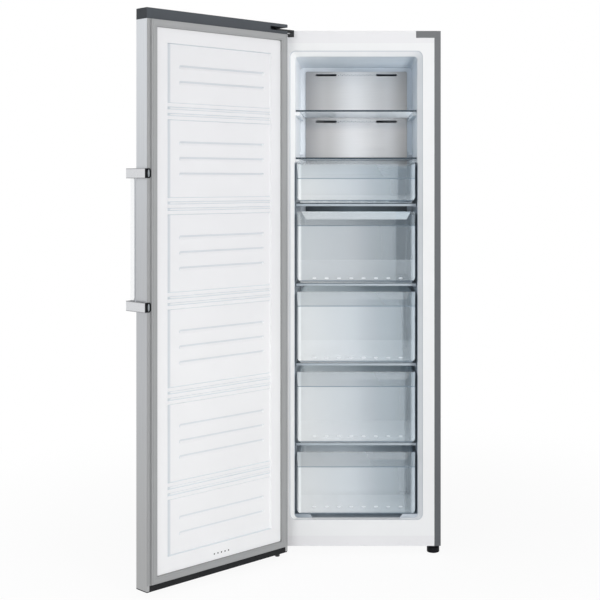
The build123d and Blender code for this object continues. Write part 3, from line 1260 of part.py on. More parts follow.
with BuildPart() as door_foam:
    extrude(within_shell(SILL_Z, DOOR_FLANGE_T - DOOR_SHEET), amount=CAP_Z - SILL_Z)
    with BuildSketch(door_face(0)):
        span(*window)
    extrude(amount=BOSS_BACK, mode=Mode.SUBTRACT)
    hinge_bore(TOP_BUSH_Z - SHEET, TOP_BOSS_R, CAP_Z - TOP_BUSH_Z + SHEET)
    with BuildSketch(door_face(0)):
        with Locations(*[(FREE_EDGE - BRACKET_STAND / 2, z) for z in (HANDLE_TOP_Z, HANDLE_BOTTOM_Z)]):
            Circle(SCREW_R)
    extrude(amount=SCREW_L, mode=Mode.SUBTRACT)
save(door_foam, "door_foam")


def gasket_ring(inset, low, high, mode=Mode.ADD):
    """One step of the gasket's section, all round the door, between two levels."""
    outer = (HINGE_EDGE + GASKET_EDGE, FREE_EDGE - GASKET_EDGE, SILL_Z, CAP_Z)
    far = GASKET_W - inset
    with BuildSketch(door_face(-high)) as ring:
        span(outer[0] + inset, outer[1] - inset, outer[2] + inset, outer[3] - inset)
        span(outer[0] + far, outer[1] - far, outer[2] + far, outer[3] - far, mode=Mode.SUBTRACT)
    extrude(ring.sketch, amount=high - low, mode=mode)


MAGNET_IN = 8.0
MAGNET_H = 2.4
GASKET_FOOT = GASKET_H * 0.26
GASKET_NECK = GASKET_H * 0.48
GASKET_HEAD = GASKET_H * 0.86
MAGNET_Z = GASKET_NECK + SHEET / 2
with BuildPart() as gasket:
    # foot, neck, head, and the crown that meets the cabinet
    gasket_ring(0.0, 0.0, GASKET_FOOT)
    gasket_ring(5.0, GASKET_FOOT, GASKET_NECK)
    gasket_ring(1.5, GASKET_NECK, GASKET_HEAD)
    gasket_ring(MAGNET_IN - SHEET / 2, GASKET_HEAD, GASKET_H)
    gasket_ring(MAGNET_IN, MAGNET_Z, MAGNET_Z + MAGNET_H, Mode.SUBTRACT)
save(gasket, "door_gasket")

with BuildPart() as magnets:
    middle = GASKET_EDGE + GASKET_W / 2
    half = GASKET_W / 2 - MAGNET_IN
    with BuildSketch(door_face(-MAGNET_Z - MAGNET_H)):
        ends = (SILL_Z + GASKET_W, CAP_Z - GASKET_W)
        span(HINGE_EDGE + middle - half, HINGE_EDGE + middle + half, *ends)
        span(FREE_EDGE - middle - half, FREE_EDGE - middle + half, *ends)
        ends = (HINGE_EDGE + GASKET_EDGE + GASKET_W, FREE_EDGE - GASKET_EDGE - GASKET_W)
        for z in (SILL_Z + GASKET_W / 2, CAP_Z - GASKET_W / 2):
            span(*ends, z - half, z + half)
    extrude(amount=MAGNET_H)
save(magnets, "gasket_magnets")

# ------------------------------------------------------------------ handle
BAR_OUT_Y = DOOR_OUT_Y - BRACKET_REACH
BAR_IN_Y = BAR_OUT_Y + BAR_D
with BuildPart() as brackets:
    for z in (HANDLE_TOP_Z, HANDLE_BOTTOM_Z):
        with BuildSketch(DOOR.offset(z - BRACKET_H / 2)) as profile:
            outer_x = FREE_EDGE + BRACKET_STAND + BRACKET_T
            inner_x = FREE_EDGE + BRACKET_STAND
            arm_y = BAR_OUT_Y + 2.0
            pad = DOOR_T / 4
            with BuildLine():
                Polyline(
                    (FREE_EDGE - BRACKET_TAB_W, DOOR_IN_Y + BRACKET_TAB_T),
                    (outer_x, DOOR_IN_Y + BRACKET_TAB_T),
                    (outer_x, arm_y),
                    (FREE_EDGE - BAR_IN, arm_y),
                    (FREE_EDGE - BAR_IN, arm_y + 2 * BRACKET_T),
                    (inner_x, arm_y + 2 * BRACKET_T),
                    (inner_x, DOOR_OUT_Y + DOOR_EDGE_R + pad),
                    (FREE_EDGE, DOOR_OUT_Y + DOOR_EDGE_R + pad),
                    (FREE_EDGE, DOOR_OUT_Y + DOOR_EDGE_R + 2 * pad),
                    (inner_x, DOOR_OUT_Y + DOOR_EDGE_R + 2 * pad),
                    (inner_x, DOOR_IN_Y - pad),
                    (FREE_EDGE, DOOR_IN_Y - pad),
                    (FREE_EDGE, DOOR_IN_Y),
                    (FREE_EDGE - BRACKET_TAB_W, DOOR_IN_Y),
                    close=True,
                )
            make_face()
            corner = profile.vertices().group_by(Axis.X)[-1].sort_by(Axis.Y)[0]
            fillet(corner, 2 * BRACKET_T)
        extrude(amount=BRACKET_H)
    with BuildSketch(door_face(-BRACKET_TAB_T)):
        with Locations(*[(FREE_EDGE - BRACKET_STAND / 2, z) for z in (HANDLE_TOP_Z, HANDLE_BOTTOM_Z)]):
            Circle(SCREW_R)
    extrude(amount=BRACKET_TAB_T, mode=Mode.SUBTRACT)
save(brackets, "handle_brackets")

with BuildPart() as handle_bar:
    with BuildSketch(DOOR.offset(HANDLE_BOTTOM_Z - BRACKET_H / 2)):
        round_span(FREE_EDGE - BAR_IN - BAR_W, FREE_EDGE - BAR_IN, BAR_OUT_Y, BAR_IN_Y, BAR_R)
    extrude(amount=HANDLE_TOP_Z - HANDLE_BOTTOM_Z + BRACKET_H)
save(handle_bar, "handle_bar")

with BuildPart() as handle_screws:
    screws = [(FREE_EDGE - BRACKET_STAND / 2, z) for z in (HANDLE_TOP_Z, HANDLE_BOTTOM_Z)]
    with BuildSketch(door_face(-BRACKET_TAB_T)):
        with Locations(*screws):
            Circle(SCREW_R)
    extrude(amount=BRACKET_TAB_T + SCREW_L)
    with BuildSketch(door_face(-BRACKET_TAB_T - SCREW_HEAD_H)):
        with Locations(*screws):
            Circle(SCREW_HEAD_R)
    extrude(amount=SCREW_HEAD_H)
save(handle_screws, "handle_screws")
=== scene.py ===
"""Upright freezer with its door open: camera, light, materials and fine detail round the CAD frame."""

import math

import bmesh
import bpy
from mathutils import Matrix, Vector


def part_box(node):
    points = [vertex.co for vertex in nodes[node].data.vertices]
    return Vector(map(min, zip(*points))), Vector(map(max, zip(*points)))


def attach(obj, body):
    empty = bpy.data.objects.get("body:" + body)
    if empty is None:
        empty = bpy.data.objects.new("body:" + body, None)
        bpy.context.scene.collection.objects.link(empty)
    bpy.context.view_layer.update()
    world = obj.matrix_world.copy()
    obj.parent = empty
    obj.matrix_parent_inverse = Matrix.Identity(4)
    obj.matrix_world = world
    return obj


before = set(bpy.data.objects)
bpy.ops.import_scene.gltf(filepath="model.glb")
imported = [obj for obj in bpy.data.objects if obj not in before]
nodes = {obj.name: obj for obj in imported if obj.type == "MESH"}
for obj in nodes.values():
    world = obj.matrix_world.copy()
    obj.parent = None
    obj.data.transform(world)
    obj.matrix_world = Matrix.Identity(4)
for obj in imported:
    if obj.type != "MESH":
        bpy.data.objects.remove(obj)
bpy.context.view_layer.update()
scene = bpy.context.scene
WHITE = (1.0, 1.0, 1.0)

# ---------------------------------------------------------------- camera
FRAME_PX = 600.0
FOCAL_PX = 1212.65
SENSOR_MM = 36.0
VANISHING_PX = (357.62, 182.33)  # where the level, straight-on view's axis meets the picture
CAMERA_AT = (0.00508, -4.5642, 1.3055)
CLIP_END = 60.0

camera = bpy.data.objects.new("camera", bpy.data.cameras.new("camera"))
scene.collection.objects.link(camera)
camera.location = CAMERA_AT
camera.rotation_euler = (math.radians(90), 0, 0)
camera.data.sensor_width = SENSOR_MM
camera.data.lens = SENSOR_MM * FOCAL_PX / FRAME_PX
camera.data.shift_x = (FRAME_PX / 2 - VANISHING_PX[0]) / FRAME_PX
camera.data.shift_y = (VANISHING_PX[1] - FRAME_PX / 2) / FRAME_PX
camera.data.clip_end = CLIP_END
scene.camera = camera
scene.view_settings.view_transform = "Standard"

# ---------------------------------------------------------------- places on the cabinet and the door
FRONT_Y = -0.300  # the cabinet's front plane
DRAWERS_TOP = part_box("drawer_1_front")[1].z

HINGE_LINE = Vector((-0.2749, -0.3382, 0.0))
OPENED = math.radians(134.4)
INWARD = Vector((math.sin(OPENED), math.cos(OPENED), 0.0))  # out of the door's inner face
ACROSS = Vector((INWARD.y, -INWARD.x, 0.0))  # from the hinge side to the free side
FREE_X, HINGE_X = 0.5724, -0.0226  # the door's side edges, from the hinge line
INNER_PLANE = 0.0284  # of the door, from the hinge line


def on_door(x, out, z):
    """Place on the door: x from the hinge line towards the free side, out of the inner face."""
    return HINGE_LINE + ACROSS * x + INWARD * out + Vector((0, 0, z))


# ---------------------------------------------------------------- what the materials are made with
def srgb(*levels):
    """Linear colour of 0 to 255 screen levels."""
    return tuple(
        (c / 255 / 12.92) if c / 255 <= 0.04045 else ((c / 255 + 0.055) / 1.055) ** 2.4 for c in levels
    )


def shader(name, color, roughness, metallic=0.0, **sockets):
    """A Principled material; the words are its other sockets, with _ for a space."""
    material = bpy.data.materials.new(name)
    material.use_nodes = True
    principled = material.node_tree.nodes["Principled BSDF"]
    principled.inputs["Base Color"].default_value = (*color, 1.0)
    principled.inputs["Roughness"].default_value = roughness
    principled.inputs["Metallic"].default_value = metallic
    for socket, value in sockets.items():
        principled.inputs[socket.replace("_", " ")].default_value = value
    return material


def noise(material, scale, stretch=(1.0, 1.0, 1.0), detail=3.0):
    """Noise over the row frame's own coordinates, finer along an axis that is stretched more."""
    tree = material.node_tree
    place = tree.nodes.new("ShaderNodeTexCoord")
    mapping = tree.nodes.new("ShaderNodeMapping")
    mapping.inputs["Scale"].default_value = stretch
    texture = tree.nodes.new("ShaderNodeTexNoise")
    texture.inputs["Scale"].default_value = scale
    texture.inputs["Detail"].default_value = detail
    tree.links.new(place.outputs["Object"], mapping.inputs["Vector"])
    tree.links.new(mapping.outputs["Vector"], texture.inputs["Vector"])
    return texture.outputs["Fac"]


def spread(material, source, low, high):
    """source, which runs about 0.3 to 0.7, mapped to low..high."""
    node = material.node_tree.nodes.new("ShaderNodeMapRange")
    node.inputs["From Min"].default_value = 0.3
    node.inputs["From Max"].default_value = 0.7
    node.inputs["To Min"].default_value = low
    node.inputs["To Max"].default_value = high
    material.node_tree.links.new(source, node.inputs["Value"])
    return node.outputs["Result"]


def mottle(material, source, amount):
    """Lets the base colour vary by this share, up and down, with the source."""
    tree = material.node_tree
    principled = tree.nodes["Principled BSDF"]
    base = principled.inputs["Base Color"].default_value[:3]
    mix = tree.nodes.new("ShaderNodeMix")
    mix.data_type = "RGBA"
    mix.inputs["A"].default_value = (*[c * (1 - amount) for c in base], 1.0)
    mix.inputs["B"].default_value = (*[min(1.0, c * (1 + amount)) for c in base], 1.0)
    tree.links.new(spread(material, source, 0.0, 1.0), mix.inputs["Factor"])
    tree.links.new(mix.outputs["Result"], principled.inputs["Base Color"])


def rough_between(material, source, low, high):
    """Lets the roughness vary from low to high with the source."""
    principled = material.node_tree.nodes["Principled BSDF"]
    material.node_tree.links.new(spread(material, source, low, high), principled.inputs["Roughness"])


def bump(material, source, strength, distance):
    """Raises the surface by up to this distance, in metres, with the source."""
    tree = material.node_tree
    node = tree.nodes.new("ShaderNodeBump")
    node.inputs["Strength"].default_value = strength
    node.inputs["Distance"].default_value = distance
    tree.links.new(source, node.inputs["Height"])
    tree.links.new(node.outputs["Normal"], tree.nodes["Principled BSDF"].inputs["Normal"])


def plastic(name, color, roughness, grain=900.0, **sockets):
    """Moulded plastic with a faint orange-peel and a slight unevenness of gloss."""
    material = shader(name, color, roughness, **sockets)
    rough_between(material, noise(material, 14.0), roughness * 0.85, roughness * 1.2)
    mottle(material, noise(material, 5.0), 0.012)
    bump(material, noise(material, grain), 0.12, 0.0002)
    return material


def painted(name, color, roughness, metallic=0.0):
    """Powder-coated sheet, or sheet with a thin plating where it is metallic."""
    material = shader(name, color, roughness, metallic)
    rough_between(material, noise(material, 9.0), roughness * 0.95, roughness * 1.05)
    mottle(material, noise(material, 3.0), 0.012)
    bump(material, noise(material, 1400.0), 0.2, 0.0002)
    return material


def brushed(name, color, roughness, stretch, uneven=0.05):
    """Brushed metal; stretch is small along the brush lines."""
    material = shader(name, color, roughness, metallic=1.0)
    grain = noise(material, 260.0, stretch, 4.0)
    rough_between(material, grain, roughness * 0.8, roughness * 1.25)
    mottle(material, grain, uneven)
    bump(material, grain, 0.1, 0.0001)
    return material


def coordinate(material, axis, space="Object"):
    """One of the object's own coordinates, or of its own normals, by the letter of its axis."""
    tree = material.node_tree
    place = tree.nodes.new("ShaderNodeTexCoord")
    split = tree.nodes.new("ShaderNodeSeparateXYZ")
    tree.links.new(place.outputs[space], split.inputs[0])
    return split.outputs[axis]


def along(material, direction, space="Object"):
    """How far the object's own coordinates or normals go along a direction."""
    tree = material.node_tree
    place = tree.nodes.new("ShaderNodeTexCoord")
    dot = tree.nodes.new("ShaderNodeVectorMath")
    dot.operation = "DOT_PRODUCT"
    dot.inputs[1].default_value = direction
    tree.links.new(place.outputs[space], dot.inputs[0])
    return dot.outputs["Value"]


def stops_from(origin, *stops):
    """Stops of a ramp whose places are counted from an origin."""
    return [(origin + place, value) for place, value in stops]


def ramp(material, source, stops, ease="EASE"):
    """A colour or a value by source: stops are (position, colour or value)."""
    low, high = stops[0][0], stops[-1][0]
    tree = material.node_tree
    fit = tree.nodes.new("ShaderNodeMapRange")
    fit.inputs["From Min"].default_value = low
    fit.inputs["From Max"].default_value = high
    tree.links.new(source, fit.inputs["Value"])
    node = tree.nodes.new("ShaderNodeValToRGB")
    node.color_ramp.interpolation = ease
    marks = node.color_ramp.elements
    while len(marks) < len(stops):
        marks.new(0.5)
    for mark, (place, value) in zip(marks, stops):
        mark.position = (place - low) / (high - low)
        mark.color = (*value, 1.0) if isinstance(value, tuple) else (value, value, value, 1.0)
    tree.links.new(fit.outputs["Result"], node.inputs["Fac"])
    return node.outputs["Color"]


def combine(material, kind, first, second, share=None):
    """Two colours or values put together: kind is a blend type of the Mix node."""
    tree = material.node_tree
    mix = tree.nodes.new("ShaderNodeMix")
    mix.data_type = "RGBA"
    mix.blend_type = kind
    mix.inputs["Factor"].default_value = 1.0
    if share:
        tree.links.new(share, mix.inputs["Factor"])
    tree.links.new(first, mix.inputs["A"])
    tree.links.new(second, mix.inputs["B"])
    return mix.outputs["Result"]


def tint(material, source, stops, ease="EASE", where=None):
    """Multiplies the base colour by a ramp over source, by the share that where gives, or in full."""
    tree = material.node_tree
    socket = tree.nodes["Principled BSDF"].inputs["Base Color"]
    if socket.is_linked:
        base = socket.links[0].from_socket
    else:
        plain = tree.nodes.new("ShaderNodeRGB")
        plain.outputs[0].default_value = socket.default_value
        base = plain.outputs[0]
    color = ramp(material, source, stops, ease)
    tree.links.new(combine(material, "MULTIPLY", base, color, where), socket)


SHADOW_SHARE = 0.15  # cloudy plastic and glass scatter most of the light that they stop


def opacity(material, source):
    """How solid it looks; it holds back only SHADOW_SHARE of that from the light."""
    tree = material.node_tree
    path = tree.nodes.new("ShaderNodeLightPath")
    thin = tree.nodes.new("ShaderNodeMapRange")
    thin.inputs["To Min"].default_value = 1.0
    thin.inputs["To Max"].default_value = SHADOW_SHARE
    tree.links.new(path.outputs["Is Shadow Ray"], thin.inputs["Value"])
    product = tree.nodes.new("ShaderNodeMath")
    product.operation = "MULTIPLY"
    tree.links.new(source, product.inputs[0])
    tree.links.new(thin.outputs["Result"], product.inputs[1])
    tree.links.new(product.outputs[0], tree.nodes["Principled BSDF"].inputs["Alpha"])


# ---------------------------------------------------------------- plain materials
UPRIGHT_BRUSH = (1.0, 1.0, 0.02)
LEVEL_BRUSH = (0.03, 1.0, 1.0)
NO_BRUSH = (1.0, 1.0, 1.0)

white_panel = plastic("white_panel", srgb(232, 232, 234), 0.35)
gasket = plastic("gasket", srgb(163, 164, 165), 0.6, grain=500.0)
black_plastic = plastic("black_plastic", srgb(14, 16, 20), 0.55, Specular_IOR_Level=0.15)
bottom_cap = plastic("bottom_cap", srgb(28, 29, 31), 0.55, Specular_IOR_Level=0.2)
rubber = plastic("rubber", srgb(24, 24, 26), 0.75, grain=400.0)
shelf_trim = plastic("shelf_trim", srgb(190, 200, 208), 0.3)
black_paint = painted("black_paint", srgb(30, 31, 34), 0.35)
zinc = painted("zinc", (0.52, 0.54, 0.56), 0.4, metallic=0.7)
bar_steel = brushed("bar_steel", (0.94, 0.95, 0.96), 0.25, UPRIGHT_BRUSH, 0.02)
plated = brushed("plated", (0.65, 0.65, 0.66), 0.3, NO_BRUSH)
copper = brushed("copper", (0.72, 0.38, 0.25), 0.35, NO_BRUSH)
foam = shader("foam", (0.78, 0.68, 0.40), 0.9)
mottle(foam, noise(foam, 40.0), 0.12)
bump(foam, noise(foam, 300.0), 0.5, 0.001)
plug_grey = shader("plug_grey", srgb(150, 156, 160), 0.5)
mottle(plug_grey, noise(plug_grey, 90.0), 0.05)
# painted shade for the insides of the duct's fine holes
hole_shade_grey = shader("hole_shade_grey", srgb(128, 138, 146), 0.7)
mottle(hole_shade_grey, noise(hole_shade_grey, 60.0), 0.05)

# ---------------------------------------------------------------- the casing, with painted shade towards its foot and painted light at its top
body_grey = painted("body_grey", srgb(108, 110, 113), 0.42)
BODY_SHADE_BY_HEIGHT = [(0.0, (0.60, 0.62, 0.64)), (0.9, (0.82, 0.83, 0.84)), (1.84, (1.06, 1.05, 1.04))]
tint(body_grey, coordinate(body_grey, "Z"), BODY_SHADE_BY_HEIGHT)

stainless = brushed("stainless", (0.62, 0.635, 0.65), 0.36, UPRIGHT_BRUSH)
# painted shade towards the door's foot and painted light at its top
STEEL_SHADE_BY_HEIGHT = [(0.0, (0.68, 0.67, 0.66)), (0.9, (0.82, 0.82, 0.83)), (1.855, (1.12, 1.13, 1.15))]
tint(stainless, coordinate(stainless, "Z"), STEEL_SHADE_BY_HEIGHT)

# painted shade: the cap's end, facing the free side, is darker than its long face
dark_cap = plastic("dark_cap", srgb(74, 78, 83), 0.5, Specular_IOR_Level=0.3)
CAP_END_SHADE = (0.60, 0.62, 0.64)
tint(
    dark_cap,
    along(dark_cap, ACROSS, "Normal"),
    [(0.0, WHITE), (0.3, WHITE), (0.7, CAP_END_SHADE), (1.0, CAP_END_SHADE)],
    "LINEAR",
)

# painted shade along the brackets' upper and lower edges
BRACKET_HALF = 0.01575
bracket_low, bracket_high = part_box("handle_brackets")
BRACKETS_Z = (bracket_high.z - BRACKET_HALF, bracket_low.z + BRACKET_HALF)
EDGE_SHADE, EDGE_FINE = (0.30, 0.30, 0.31), 0.0030
handle_steel = brushed("handle_steel", (0.68, 0.69, 0.71), 0.3, UPRIGHT_BRUSH, 0.02)
edges = []
for middle in sorted(BRACKETS_Z):
    edges += stops_from(
        middle,
        (-BRACKET_HALF, EDGE_SHADE),
        (EDGE_FINE - BRACKET_HALF, WHITE),
        (BRACKET_HALF - EDGE_FINE, WHITE),
        (BRACKET_HALF, EDGE_SHADE),
    )
tint(handle_steel, coordinate(handle_steel, "Z"), edges, "LINEAR")

# ---------------------------------------------------------------- the cabinet's liner
MOUTH_SHADE_LINE = (0.74, 0.77, 0.81)
CEILING_SHADE = (0.82, 0.85, 0.875)
DARK, PALE = (0.20, 0.25, 0.30), (0.60, 0.65, 0.70)


def liner_material():
    """White plastic with painted shade, cooler and darker inwards, to the right, on the ceiling and in a
    fine line at the mouth, painted light to the left, and painted shade round the drawers.
    """
    material = plastic("liner", srgb(236, 237, 238), 0.38)
    depth = coordinate(material, "Y")

    def by_depth(*stops, ease="EASE"):
        return ramp(material, depth, stops_from(FRONT_Y, *stops), ease)

    # how far in each tint works: round the mouth, within it, and behind and beside the drawers' fronts
    mouth = by_depth((0.001, 0.0), (0.006, 1.0), (0.018, 1.0), (0.026, 0.0))
    inside = by_depth((0.018, 0.0), (0.026, 1.0))
    behind = by_depth((0.0165, 0.0), (0.0205, 1.0), (0.060, 1.0), (0.160, 0.5))
    beside = by_depth((0.0165, 0.0), (0.0205, 1.0), (0.060, 1.0), (0.090, 0.0), ease="LINEAR")

    # painted shade, cooler and darker inwards
    inwards = stops_from(FRONT_Y, (0.018, WHITE), (0.060, (0.95, 0.98, 1.0)), (0.450, (0.90, 0.94, 0.98)))
    tint(material, depth, inwards)
    # a fine line of painted shade where the mouth starts
    line = stops_from(
        FRONT_Y,
        (-0.004, WHITE),
        (0.0004, WHITE),
        (0.0010, MOUTH_SHADE_LINE),
        (0.0032, MOUTH_SHADE_LINE),
        (0.0040, WHITE),
        (0.010, WHITE),
    )
    tint(material, depth, line, "LINEAR")

    sideways = coordinate(material, "X")
    # painted light on the mouth's left side and painted shade on its right
    mouth_light_and_shade = [
        (-0.235, (1.13, 1.13, 1.12)),
        (0.0, (1.04, 1.04, 1.04)),
        (0.19, (0.99, 0.99, 1.0)),
        (0.235, (0.89, 0.915, 0.94)),
    ]
    tint(material, sideways, mouth_light_and_shade, where=mouth)
    # painted light on the left walls inside and painted shade on the right
    within = [
        (-0.215, (1.26, 1.23, 1.21)),
        (-0.15, (1.10, 1.09, 1.08)),
        (-0.03, (0.84, 0.86, 0.875)),
        (0.10, (0.80, 0.825, 0.85)),
        (0.215, (0.80, 0.83, 0.86)),
    ]
    tint(material, sideways, within, where=inside)
    # painted shade on the ceiling, which faces down
    facing_down_shade = [(-1.0, CEILING_SHADE), (-0.8, CEILING_SHADE), (-0.6, WHITE), (1.0, WHITE)]
    tint(material, coordinate(material, "Z", "Normal"), facing_down_shade, "LINEAR", inside)

    # beside the drawers the walls lie in shade, less so between two drawers and most on the left
    height = coordinate(material, "Z")
    shaded = []
    for n in (5, 4, 3, 2, 1):
        low, high = (corner.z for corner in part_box(f"drawer_{n}_front"))
        shaded += [(low - 0.003, PALE), (low + 0.001, DARK), (high - 0.012, DARK), (high - 0.006, PALE)]
    shaded[-1] = (DRAWERS_TOP - 0.002, WHITE)
    tint(material, height, shaded, "LINEAR", behind)
    below_top = ramp(material, height, stops_from(DRAWERS_TOP, (-0.012, 1.0), (-0.002, 0.0)), "LINEAR")
    left_wall = [(-0.20, (0.40, 0.44, 0.48)), (-0.10, WHITE)]
    tint(material, sideways, left_wall, "LINEAR", combine(material, "MULTIPLY", beside, below_top))
    return material


liner = liner_material()

# ---------------------------------------------------------------- the door's liner
FIELD_DEPTH = 0.004
FIELD_OUT = INNER_PLANE - FIELD_DEPTH  # floor of the sunk fields, from the hinge line
FIELD_FREE_X = 0.4944  # their free side
STEEP_SHADE = (0.83, 0.875, 0.905)


def door_liner_material():
    """White plastic with painted shade on the shoulders round the sunk fields, bars and grooves, and
    painted light towards its foot.
    """
    material = plastic("door_white", srgb(233, 233, 235), 0.42)
    # painted shade on the shoulders that face up or down
    tint(
        material,
        coordinate(material, "Z", "Normal"),
        [(-1.0, STEEP_SHADE), (-0.6, STEEP_SHADE), (-0.4, WHITE), (0.55, WHITE), (0.66, STEEP_SHADE), (1.0, STEEP_SHADE)],
        "LINEAR",
    )
    # painted shade on the walls that face the hinge side
    tint(
        material,
        along(material, ACROSS, "Normal"),
        [(-1.0, (0.85, 0.89, 0.925)), (-0.25, (0.87, 0.91, 0.94)), (-0.12, WHITE), (1.0, WHITE)],
        "LINEAR",
    )
    # painted shade in the bottoms of the grooves, deeper than the sunk fields
    out = along(material, INWARD)
    floor_at = HINGE_LINE.dot(INWARD) + FIELD_OUT
    grooves = stops_from(
        floor_at,
        (-0.0045, (0.85, 0.88, 0.90)),
        (-0.0038, (0.88, 0.905, 0.925)),
        (-0.0032, WHITE),
        (0.0, WHITE),
    )
    tint(material, out, grooves, "LINEAR")
    # soft shade in the sunk fields along their free side
    free_side = stops_from(
        HINGE_LINE.dot(ACROSS) + FIELD_FREE_X,
        (-0.0175, WHITE),
        (-0.0150, (0.86, 0.89, 0.91)),
        (-0.0100, (0.80, 0.84, 0.87)),
        (-0.0001, (0.80, 0.84, 0.87)),
        (0.0, WHITE),
    )
    sunk = ramp(material, out, stops_from(floor_at, (0.0004, 1.0), (0.0010, 0.0)), "LINEAR")
    tint(material, along(material, ACROSS), free_side, "LINEAR", sunk)
    # painted light, lighter towards the door's foot
    door_light_by_height = [
        (0.0, (1.12, 1.12, 1.11)),
        (0.6, (1.10, 1.10, 1.09)),
        (1.2, (1.03, 1.03, 1.03)),
        (1.8, (0.99, 0.99, 0.99)),
    ]
    tint(material, coordinate(material, "Z"), door_light_by_height)
    return material


door_white = door_liner_material()


# ---------------------------------------------------------------- the duct panel
def duct_material():
    """Brushed aluminium with a painted reflection that is brightest in the middle, painted shade behind
    the drawers and painted light above them.
    """
    material = brushed("duct_metal", (0.86, 0.87, 0.885), 0.36, LEVEL_BRUSH, 0.02)
    # painted reflection, brightest in the middle and darker towards the sides
    sideways = [
        (-0.197, (0.50, 0.49, 0.49)),
        (-0.120, (0.70, 0.69, 0.68)),
        (-0.010, (1.02, 1.02, 1.02)),
        (0.110, (0.74, 0.74, 0.74)),
        (0.197, (0.50, 0.49, 0.48)),
    ]
    tint(material, coordinate(material, "X"), sideways)
    # painted shade behind the drawers and painted light above them
    upwards = [
        (1.25, (0.26, 0.30, 0.33)),
        (1.35, (1.10, 1.09, 1.08)),
        (1.50, (1.12, 1.10, 1.09)),
        (1.535, (0.95, 0.95, 0.96)),
        (1.56, WHITE),
    ]
    tint(material, coordinate(material, "Z"), upwards)
    return material


duct_metal = duct_material()

# ---------------------------------------------------------------- panes
CUT_EDGE = (0.032, 0.050, 0.066)


def pane_material(name, under, over):
    """Glass with dark cut edges; under and over say how solid its lower and its upper face look."""
    material = shader(name, srgb(236, 243, 248), 0.16)
    up = coordinate(material, "Z", "Normal")
    haze = [(-1.0, under), (-0.9, under), (-0.8, 0.97), (0.8, 0.97), (0.9, over), (1.0, over)]
    opacity(material, ramp(material, up, haze, "LINEAR"))
    edges = [(-1.0, WHITE), (-0.9, WHITE), (-0.8, CUT_EDGE), (0.8, CUT_EDGE), (0.9, WHITE), (1.0, WHITE)]
    tint(material, up, edges, "LINEAR")
    return material


shelf_glass = pane_material("shelf_glass", under=0.80, over=0.30)
drawer_shelf_glass = pane_material("drawer_shelf_glass", under=0.25, over=0.25)

# ---------------------------------------------------------------- drawers
CLEAR = srgb(248, 251, 252)
USUAL_LOOK = {
    "cool": 0.0,  # how much bluer than grey the front is at its left
    "crease": 0.050,  # how far the crease lies under the front's top
    "grip": 0.76,  # how bright the grip over the crease is; below 1 it is painted shade
    "grip_solid": 1.0,  # share of the front's opacity that the grip has
    "top_solid": 1.0,  # the same for the grip's uppermost part
    "lip_solid": 0.6,  # the same for the lip that hangs behind the grip
    "white_lip": False,
    "foot": 0.076,  # height of the front's milkier foot
    "foot_haze": 0.10,  # its opacity at its upper edge
    "bin_top": (0.93, 0.98, 1.0),  # painted shade on the bin's upper edge
}
# painted shade on a bin's upper edge
TOP_SHADE = (0.84, 0.88, 0.91)
# wall: where, from the middle, the painted shade of the bin's right wall begins to show; bright: how
# bright the front is painted for the light each drawer gets
LOOKS = {
    1: dict(
        USUAL_LOOK,
        wall=0.147,
        bright=0.82,
        crease=0.0625,
        grip=0.86,
        top_solid=0.35,
        lip_solid=0.2,
        foot=0.020,
        bin_top=TOP_SHADE,
    ),
    2: dict(
        USUAL_LOOK,
        wall=0.140,
        bright=0.71,
        cool=0.03,
        grip=0.70,
        grip_solid=0.45,
        top_solid=0.45,
        white_lip=True,
        foot_haze=0.30,
        bin_top=TOP_SHADE,
    ),
    3: dict(USUAL_LOOK, wall=0.165, bright=0.94),
    4: dict(USUAL_LOOK, wall=0.172, bright=0.91),
    5: dict(USUAL_LOOK, wall=0.172, bright=0.89, grip=0.68, foot=0.066, bin_top=(0.66, 0.71, 0.75)),
}
WALL_BLUR = 0.006  # half the width over which the painted shade of the wall begins to show
RIM_CORE, RIM_EDGE = 0.0025, 0.0035  # the fine line along a front's lower edge, more solid and with painted shade, ends between these heights
CREASE_CORE, CREASE_EDGE = 0.0010, 0.0018  # half the crease's line, without and with its soft edges
GRIP_FROM = 0.0024  # over the crease


def drawer_bin_material(n):
    """Cloudy plastic with painted light on the left, and painted shade towards its right wall and along
    its upper edge.
    """
    low, high = (corner.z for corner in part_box(f"drawer_{n}_bin"))
    wall = LOOKS[n]["wall"]
    material = shader(f"drawer_{n}_bin_clear", CLEAR, 0.3)
    sideways = coordinate(material, "X")
    opacity(material, ramp(material, sideways, [(-0.2, 0.88), (0.2, 0.84)]))
    # painted light on the left and painted shade towards the right wall
    shares = [
        (-0.195, WHITE),
        (-0.060, (0.91, 0.93, 0.955)),
        (0.100, (0.67, 0.73, 0.775)),
        (wall - WALL_BLUR, (0.60, 0.66, 0.71)),
        (wall + WALL_BLUR, (0.43, 0.49, 0.55)),
        (0.200, (0.46, 0.52, 0.58)),
    ]
    tint(material, sideways, shares)
    # painted shade along the bin's upper edge
    upwards = [(low, WHITE), (high - 0.10, WHITE), (high, LOOKS[n]["bin_top"])]
    tint(material, coordinate(material, "Z"), upwards)
    return material


LIP_HALF = 0.196  # half its width
LIP_DROP = 0.042  # how far it reaches down from the front's top
LIP_BACK = 0.0335  # from the cabinet's front plane
LIP_BLUR = 0.001  # softness of its mask


def lip_mask(material, high):
    """1 on the lip that hangs behind a front's grip, 0 elsewhere."""
    across = [(-LIP_HALF, 0.0), (LIP_BLUR - LIP_HALF, 1.0), (LIP_HALF - LIP_BLUR, 1.0), (LIP_HALF, 0.0)]
    behind = stops_from(FRONT_Y + LIP_BACK, (0.0, 0.0), (LIP_BLUR, 1.0))
    above = stops_from(high - LIP_DROP, (0.0, 0.0), (LIP_BLUR, 1.0))
    product = ramp(material, coordinate(material, "X"), across, "LINEAR")
    for axis, stops in (("Y", behind), ("Z", above)):
        share = ramp(material, coordinate(material, axis), stops, "LINEAR")
        product = combine(material, "MULTIPLY", product, share)
    return product


